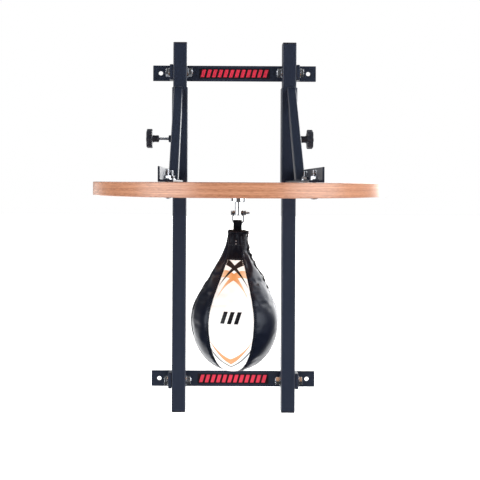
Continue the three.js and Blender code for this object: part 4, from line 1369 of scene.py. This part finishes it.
def bag_cover():
    panels = sewn_panels()
    thing = make("bag_leather_cover", [panels], [black_leather("black_gore"), printed_gore()])
    columns = sum(COLUMNS)
    on_seam = [sum(COLUMNS[:i]) for i in range(len(COLUMNS))]
    held = {}
    for row in range(ROWS_UP):
        for column in range(columns):
            if row < 2 or row > ROWS_UP - 4:
                held[row * columns + column] = 1.0
            elif column in on_seam:
                held[row * columns + column] = 1.0
    blow_up(thing, held)
    thing.modifiers.new("fine", "SUBSURF").levels = 1
    thing.modifiers["fine"].render_levels = 1
    settle(thing)
    points = np.array([v.co for v in thing.data.vertices])
    normals = np.array([v.normal for v in thing.data.vertices])
    shifted = points + normals * leather_details(points, normals)[:, None]
    thing.data.vertices.foreach_set("co", shifted.ravel())
    outer = BVHTree.FromPolygons([tuple(p) for p in shifted], [tuple(f.vertices) for f in thing.data.polygons])
    skin = thing.modifiers.new("skin", "SOLIDIFY")
    skin.thickness, skin.offset = BAG["skin"], -1
    settle(thing)

    def paint(centre, normal):
        """White gores below the neck reinforcement; what lies under it is black, like the rest."""
        below = centre.z < TONGUE["bottom"] + 2.4 * MM
        return int(below and gore_of(math.atan2(centre.x, -centre.y)) in WHITE_GORES)
    finish_surface(thing, paint, sharp=60)
    return thing, outer


def hit(start, direction, lift):
    """The skin's outer face along a ray, lifted off it by lift, with the normal there."""
    place, normal = skin_tree.ray_cast(Vector(start), Vector(direction))[:2]
    if place is None:
        place, normal = skin_tree.find_nearest(Vector(start) + Vector(direction) * 0.03)[:2]
    if normal.dot(Vector(direction)) > 0:
        normal = -normal
    return np.array(place + normal * lift), np.array(normal)


def on_skin(azimuth, share, lift=0.0):
    """A point on the skin at that azimuth and that share of the way up the outline."""
    index = share * (len(OUTLINE) - 1)
    base = min(int(index), len(OUTLINE) - 2)
    radius, height = OUTLINE[base] + (OUTLINE[base + 1] - OUTLINE[base]) * (index - base)
    slope = OUTLINE[base + 1] - OUTLINE[base]
    slope /= np.linalg.norm(slope)
    outward = round_at(azimuth, slope[1], -slope[0])
    start = round_at(azimuth, radius, height) + outward * 30 * MM
    return hit(start, -outward, lift)


def keep_on_bag(thing, slot, *nodes, flat=False):
    thing.matrix_world = BAG_PLACE
    return keep(thing, "bag", slot, *nodes, flat=flat)


cover, skin_tree = bag_cover()
keep_on_bag(cover, "bag_leather", "bag_cover")

# ---------------------------------------------------------------- bag: what is sewn to it

strap_hide = strap_leather()
black_hide = black_leather("piping_leather", roughness=0.26, coat=0.2)
black_thread = waxed_thread("black_thread", srgb(22, 22, 26), srgb(44, 44, 50))
white_thread = waxed_thread("white_thread", srgb(206, 204, 198), srgb(236, 234, 228))
lace_cord = waxed_thread("lace_cord", srgb(14, 14, 17), srgb(34, 34, 40))
STITCH = {"length": 2.7 * MM, "pitch": 4.1 * MM, "radius": 0.38 * MM, "from_seam": 3.4 * MM}


def stitches(path, normals, spec=STITCH):
    """Short thread ends laid along a path, each sunk a little at both ends."""
    path = np.asarray(path)
    normals = np.asarray(normals)
    length = np.concatenate([[0], np.cumsum(np.linalg.norm(np.diff(path, axis=0), axis=1))])
    half = spec["length"] / 2
    one = turned([(spec["radius"] * s, half * h) for s, h in
                  ((0.15, -1), (0.75, -0.8), (1, -0.35), (1, 0.35), (0.75, 0.8), (0.15, 1))], 6)
    solids = []
    for middle_at in np.arange(spec["pitch"] / 2, length[-1], spec["pitch"]):
        place = [np.interp(middle_at, length, path[:, k]) for k in range(3)]
        ahead = [np.interp(middle_at + 0.5 * MM, length, path[:, k]) for k in range(3)]
        along = Vector(ahead) - Vector(place)
        if along.length < 1e-6:
            continue
        along.normalize()
        up = Vector([np.interp(middle_at, length, normals[:, k]) for k in range(3)])
        side = along.cross(up).normalized()
        up = side.cross(along)
        turn = Matrix((side, up, along)).transposed().to_4x4()
        solids.append(moved(one, at(*place) @ turn))
    return solids


def seam_path(seam, offset=0.0, low=0.035, high=0.985, lift=0.0, steps=90):
    """Points and normals up a seam, or beside it by offset along the skin."""
    points, normals = [], []
    for share in np.linspace(low, high, steps):
        radius = float(np.interp(share, np.linspace(0, 1, len(OUTLINE)), OUTLINE[:, 0]))
        point, normal = on_skin(seam + offset / max(radius, 8 * MM), share, lift)
        points.append(point)
        normals.append(normal)
    return np.array(points), np.array(normals)


def piping():
    beads = []
    for seam in SEAMS:
        top = share_at(LACE["last"] - 7 * MM) if seam == LACE_SEAM else 0.985
        path, _ = seam_path(seam, high=top, lift=0.35 * MM)
        beads.append(tube(path, 1.15 * MM, 10))
    pole = turned([(0.2 * MM, -1.6 * MM), (5 * MM, -1.3 * MM), (8.4 * MM, -0.4 * MM), (9.2 * MM, 0.8 * MM),
                   (8 * MM, 1.6 * MM), (0.2 * MM, 1.8 * MM)], 40)
    beads.append(moved(pole, at(0, 0, BAG["bottom"] + 0.2 * MM)))
    keep_on_bag(make("seam_piping", beads, [black_hide]), "bag_leather")


def seam_stitching():
    dark, light = [], []
    for i, seam in enumerate(SEAMS):
        for sign in (-1, 1):
            gore = i if sign > 0 else (i - 1) % len(SEAMS)
            low = 0.10
            high = share_at(LACE["last"] - 7 * MM) if seam == LACE_SEAM else 0.97
            path, normals = seam_path(seam, sign * STITCH["from_seam"], low, high, lift=0.12 * MM)
            (light if gore in WHITE_GORES else dark).extend(stitches(path, normals))
    keep_on_bag(make("black_seam_stitches", dark, [black_thread]), "bag_leather")
    keep_on_bag(make("white_seam_stitches", light, [white_thread]), "bag_leather")


FRONT = np.array([math.sin(GORE_MIDDLE), -math.cos(GORE_MIDDLE), 0])
ACROSS = np.array([math.cos(GORE_MIDDLE), math.sin(GORE_MIDDLE), 0])


def front_of_skin(across, height, lift):
    """The skin seen square on from the front gore, at that distance across it and that height."""
    start = FRONT * 0.15 + ACROSS * across + np.array([0, 0, height])
    return hit(start, -FRONT, lift)


def tongue():
    """The black leather reinforcement over the top of the front gore, and of the back one."""
    solids, threads = [], []
    for turn in (0, math.pi):
        spin = Matrix.Rotation(turn, 4, "Z")
        rings = []
        for height in np.linspace(TONGUE["bottom"], TONGUE["top"], 34):
            outer, inner = [], []
            for across in np.linspace(-1, 1, 25) * TONGUE["half_width"]:
                rim = min(TONGUE["half_width"] - abs(across), height - TONGUE["bottom"]) / (1.3 * MM)
                thick = TONGUE["thickness"] * (0.35 + 0.65 * math.sqrt(min(max(rim, 0), 1)))
                outer.append(front_of_skin(across, height, thick)[0])
                inner.append(front_of_skin(across, height, -0.4 * MM)[0])
            rings.append(outer + inner[::-1])
        solids.append(moved(loft(rings), spin))
        edge = TONGUE["half_width"] - 2.6 * MM
        foot = TONGUE["bottom"] + 2.8 * MM
        lift = TONGUE["thickness"] + 0.15 * MM
        lines = [[(side * edge, z) for z in np.linspace(foot, -28 * MM, 24)] for side in (-1, 1)]
        lines += [[(x, z) for x in np.linspace(-edge, edge, 16)] for z in (foot, -46.5 * MM)]
        for line in lines:
            both = [front_of_skin(x, z, lift) for x, z in line]
            threads += [moved(one, spin) for one in stitches([p for p, _ in both], [n for _, n in both])]
    keep_on_bag(make("neck_reinforcement", solids, [strap_hide], sharp=50), "strap_leather")
    keep_on_bag(make("reinforcement_stitches", threads, [black_thread]), "strap_leather")


def rivets():
    dome = turned([(1.7 * MM, -0.4 * MM), (1.8 * MM, 0.2 * MM), (1.5 * MM, 0.6 * MM), (0.9 * MM, 0.9 * MM),
                   (0.1 * MM, 1.0 * MM)], 24)
    solids = []
    for height in (-38.2 * MM, -44.0 * MM):
        point, normal = front_of_skin(0, height, TONGUE["thickness"])
        turn = Vector(normal).to_track_quat("Z", "Y").to_matrix().to_4x4()
        solids.append(moved(dome, at(*point) @ turn))
    keep_on_bag(make("strap_rivets", solids, [nickel]), "chrome")


COLLAR = {"radius": 16.2 * MM, "wide": 4.2 * MM, "tall": 4.6 * MM, "height": -20.5 * MM}


def neck_collar():
    """The rolled rim of the neck, gathered into folds, and the gathered hide inside it."""
    rings = []
    for azimuth in np.arange(120) / 120 * TURN:
        fold = 1 + 0.10 * math.cos(17 * azimuth + 0.8) + 0.07 * math.cos(29 * azimuth) + 0.05 * math.sin(7 * azimuth)
        ring = []
        for turn in np.arange(18) / 18 * TURN:
            radius = COLLAR["radius"] + COLLAR["wide"] * fold * math.cos(turn)
            height = COLLAR["height"] + COLLAR["tall"] * fold * math.sin(turn)
            ring.append(round_at(azimuth, radius, height))
        rings.append(ring)
    inside = []
    for radius, height in ((0.3 * MM, -27 * MM), (5 * MM, -26.5 * MM), (10 * MM, -25 * MM),
                           (15 * MM, -22 * MM), (16.5 * MM, -23.5 * MM), (10 * MM, -27.5 * MM),
                           (0.3 * MM, -29.5 * MM)):
        def reach(angles, radius=radius):
            return radius * (1 + 0.02 * np.cos(22 * angles))
        inside.append((reach, height))
    keep_on_bag(make("neck_collar", [loft(rings, wrap=True), turned(inside, 96)], [strap_hide], sharp=60),
                "strap_leather")


def hanging_strap():
    """A leather strap folded over the bow, its two layers stitched together below it."""
    half_path = [(-1.62, -34), (-1.62, -22), (-1.68, -12.5), (-2.5, -7.4), (-3.9, -2.8), (-4.25, 0.6),
                 (-3.1, 3.1), (0, 4.35)]
    path = [(y * MM, z * MM) for y, z in half_path] + [(-y * MM, z * MM) for y, z in half_path[-2::-1]]
    line = curve_through([(0, y, z) for y, z in path], 6)
    tangents = np.gradient(line, axis=0)
    tangents /= np.linalg.norm(tangents, axis=1)[:, None]
    section = rectangle(18 * MM, 2.9 * MM, 0.9 * MM)
    rings = []
    for point, tangent in zip(line, tangents):
        out = np.array([0, tangent[2], -tangent[1]])
        rings.append([point + np.array([x, 0, 0]) + out * y for x, y in section])
    keep_on_bag(make("hanging_strap_loop", [loft(rings)], [strap_hide], sharp=50), "strap_leather",
                "hanging_strap")
    threads = []
    for face in (-1, 1):
        normal = np.array([0, face, 0])
        y = face * 3.15 * MM
        lines = [[(x, y, z * MM) for z in np.linspace(-33, -9, 12)] for x in (-6.6 * MM, 6.6 * MM)]
        lines.append([(x * MM, y, -9 * MM) for x in np.linspace(-6.6, 6.6, 8)])
        for line in lines:
            threads += stitches(line, [normal] * len(line))
    keep_on_bag(make("strap_stitches", threads, [black_thread]), "strap_leather")


def trefoil(scale):
    angles = np.linspace(0, TURN, 73)
    return np.stack([np.sin(angles) + 2 * np.sin(2 * angles), np.cos(angles) - 2 * np.cos(2 * angles),
                     -np.sin(3 * angles)], 1) * scale


def lacing():
    """One lace, down and back up through the eyelets and knotted at the collar."""
    heights = np.linspace(LACE["first"], LACE["last"], LACE["eyelets"])
    eyelets, down, up = [], [], []
    ring = turned([(1.9 * MM, 0), (2.0 * MM, 0.55 * MM), (2.6 * MM, 0.75 * MM), (3.1 * MM, 0.35 * MM),
                   (3.15 * MM, -0.3 * MM), (1.9 * MM, -0.6 * MM)], 24, wrap=True)
    for i, height in enumerate(heights):
        share = share_at(height)
        radius = float(np.interp(height, OUTLINE[:, 1], OUTLINE[:, 0]))
        for sign in (-1, 1):
            azimuth = LACE_SEAM + sign * LACE["half_gap"] / radius
            point, normal = on_skin(azimuth, share)
            turn = Vector(normal).to_track_quat("Z", "Y").to_matrix().to_4x4()
            eyelets.append(moved(ring, at(*point) @ turn))
            strand = down if (sign > 0) == (i % 2 == 0) else up
            strand.append(on_skin(azimuth, share, 1.3 * MM)[0])
            if i + 1 < len(heights):
                low = 0.2 * MM if strand is up else 2.6 * MM
                if strand is down and i == 4:
                    low = 6.0 * MM
                strand.append(on_skin(LACE_SEAM, share_at((height + heights[i + 1]) / 2), low)[0])
    knot = round_at(math.radians(72), 22.0 * MM, -19.5 * MM)
    start = [knot, on_skin(LACE_SEAM, share_at(-34 * MM), 2.4 * MM)[0]]
    bottom = on_skin(LACE_SEAM, share_at(LACE["last"] - 3.5 * MM), 1.6 * MM)[0]
    path = curve_through(start + down + [bottom] + up[::-1] + [start[1] + (0, 0, 1.5 * MM), knot], 7)
    lump = trefoil(1.35 * MM) * (1, 1, 1.4)
    turn = Vector(round_at(LACE_SEAM, 1, 0)).to_track_quat("Z", "Y").to_matrix().to_4x4()
    solids = [tube(path, LACE["radius"], 10), moved(tube(lump, 1.35 * MM, 10), at(*knot) @ turn)]
    for sign in (-1, 1):
        tail = [knot, knot + (0.4 * MM, sign * 3.4 * MM, -2.4 * MM), knot + (0.6 * MM, sign * 5 * MM, -6 * MM),
                knot + (1.4 * MM, sign * 5.4 * MM, -9.5 * MM)]
        solids.append(tube(curve_through(tail, 6), LACE["radius"], 10))
    print("lace in the eyelets", round(np.linalg.norm(np.diff(path, axis=0), axis=1).sum() * 1000), "mm")
    keep_on_bag(make("side_lace", solids, [lace_cord]), "lace_cord", "bag_lace")
    keep_on_bag(make("lace_eyelets", eyelets, [plastic]), "black_plastic")


def bladder():
    """The rubber bladder under the skin, with its filling stem in the neck."""
    def wall(back, stem):
        belly = [(max(r, 0.4 * MM), z) for r, z in pear(60, back) if z < -78 * MM]
        neck = [(stem + 6 * MM, -72 * MM), (stem + 1.2 * MM, -66 * MM), (stem, -60 * MM), (stem, -46 * MM)]
        return belly + neck
    outside = wall(BAG["skin"] + 3.4 * MM, 5 * MM)
    inside = wall(BAG["skin"] + 5.0 * MM, 2.4 * MM)
    keep_on_bag(make("rubber_bladder", [turned(outside + inside[::-1], 64, wrap=True)], [moulded_latex()]),
                "latex", "bag_bladder")


piping()
seam_stitching()
tongue()
rivets()
neck_collar()
hanging_strap()
lacing()
bladder()
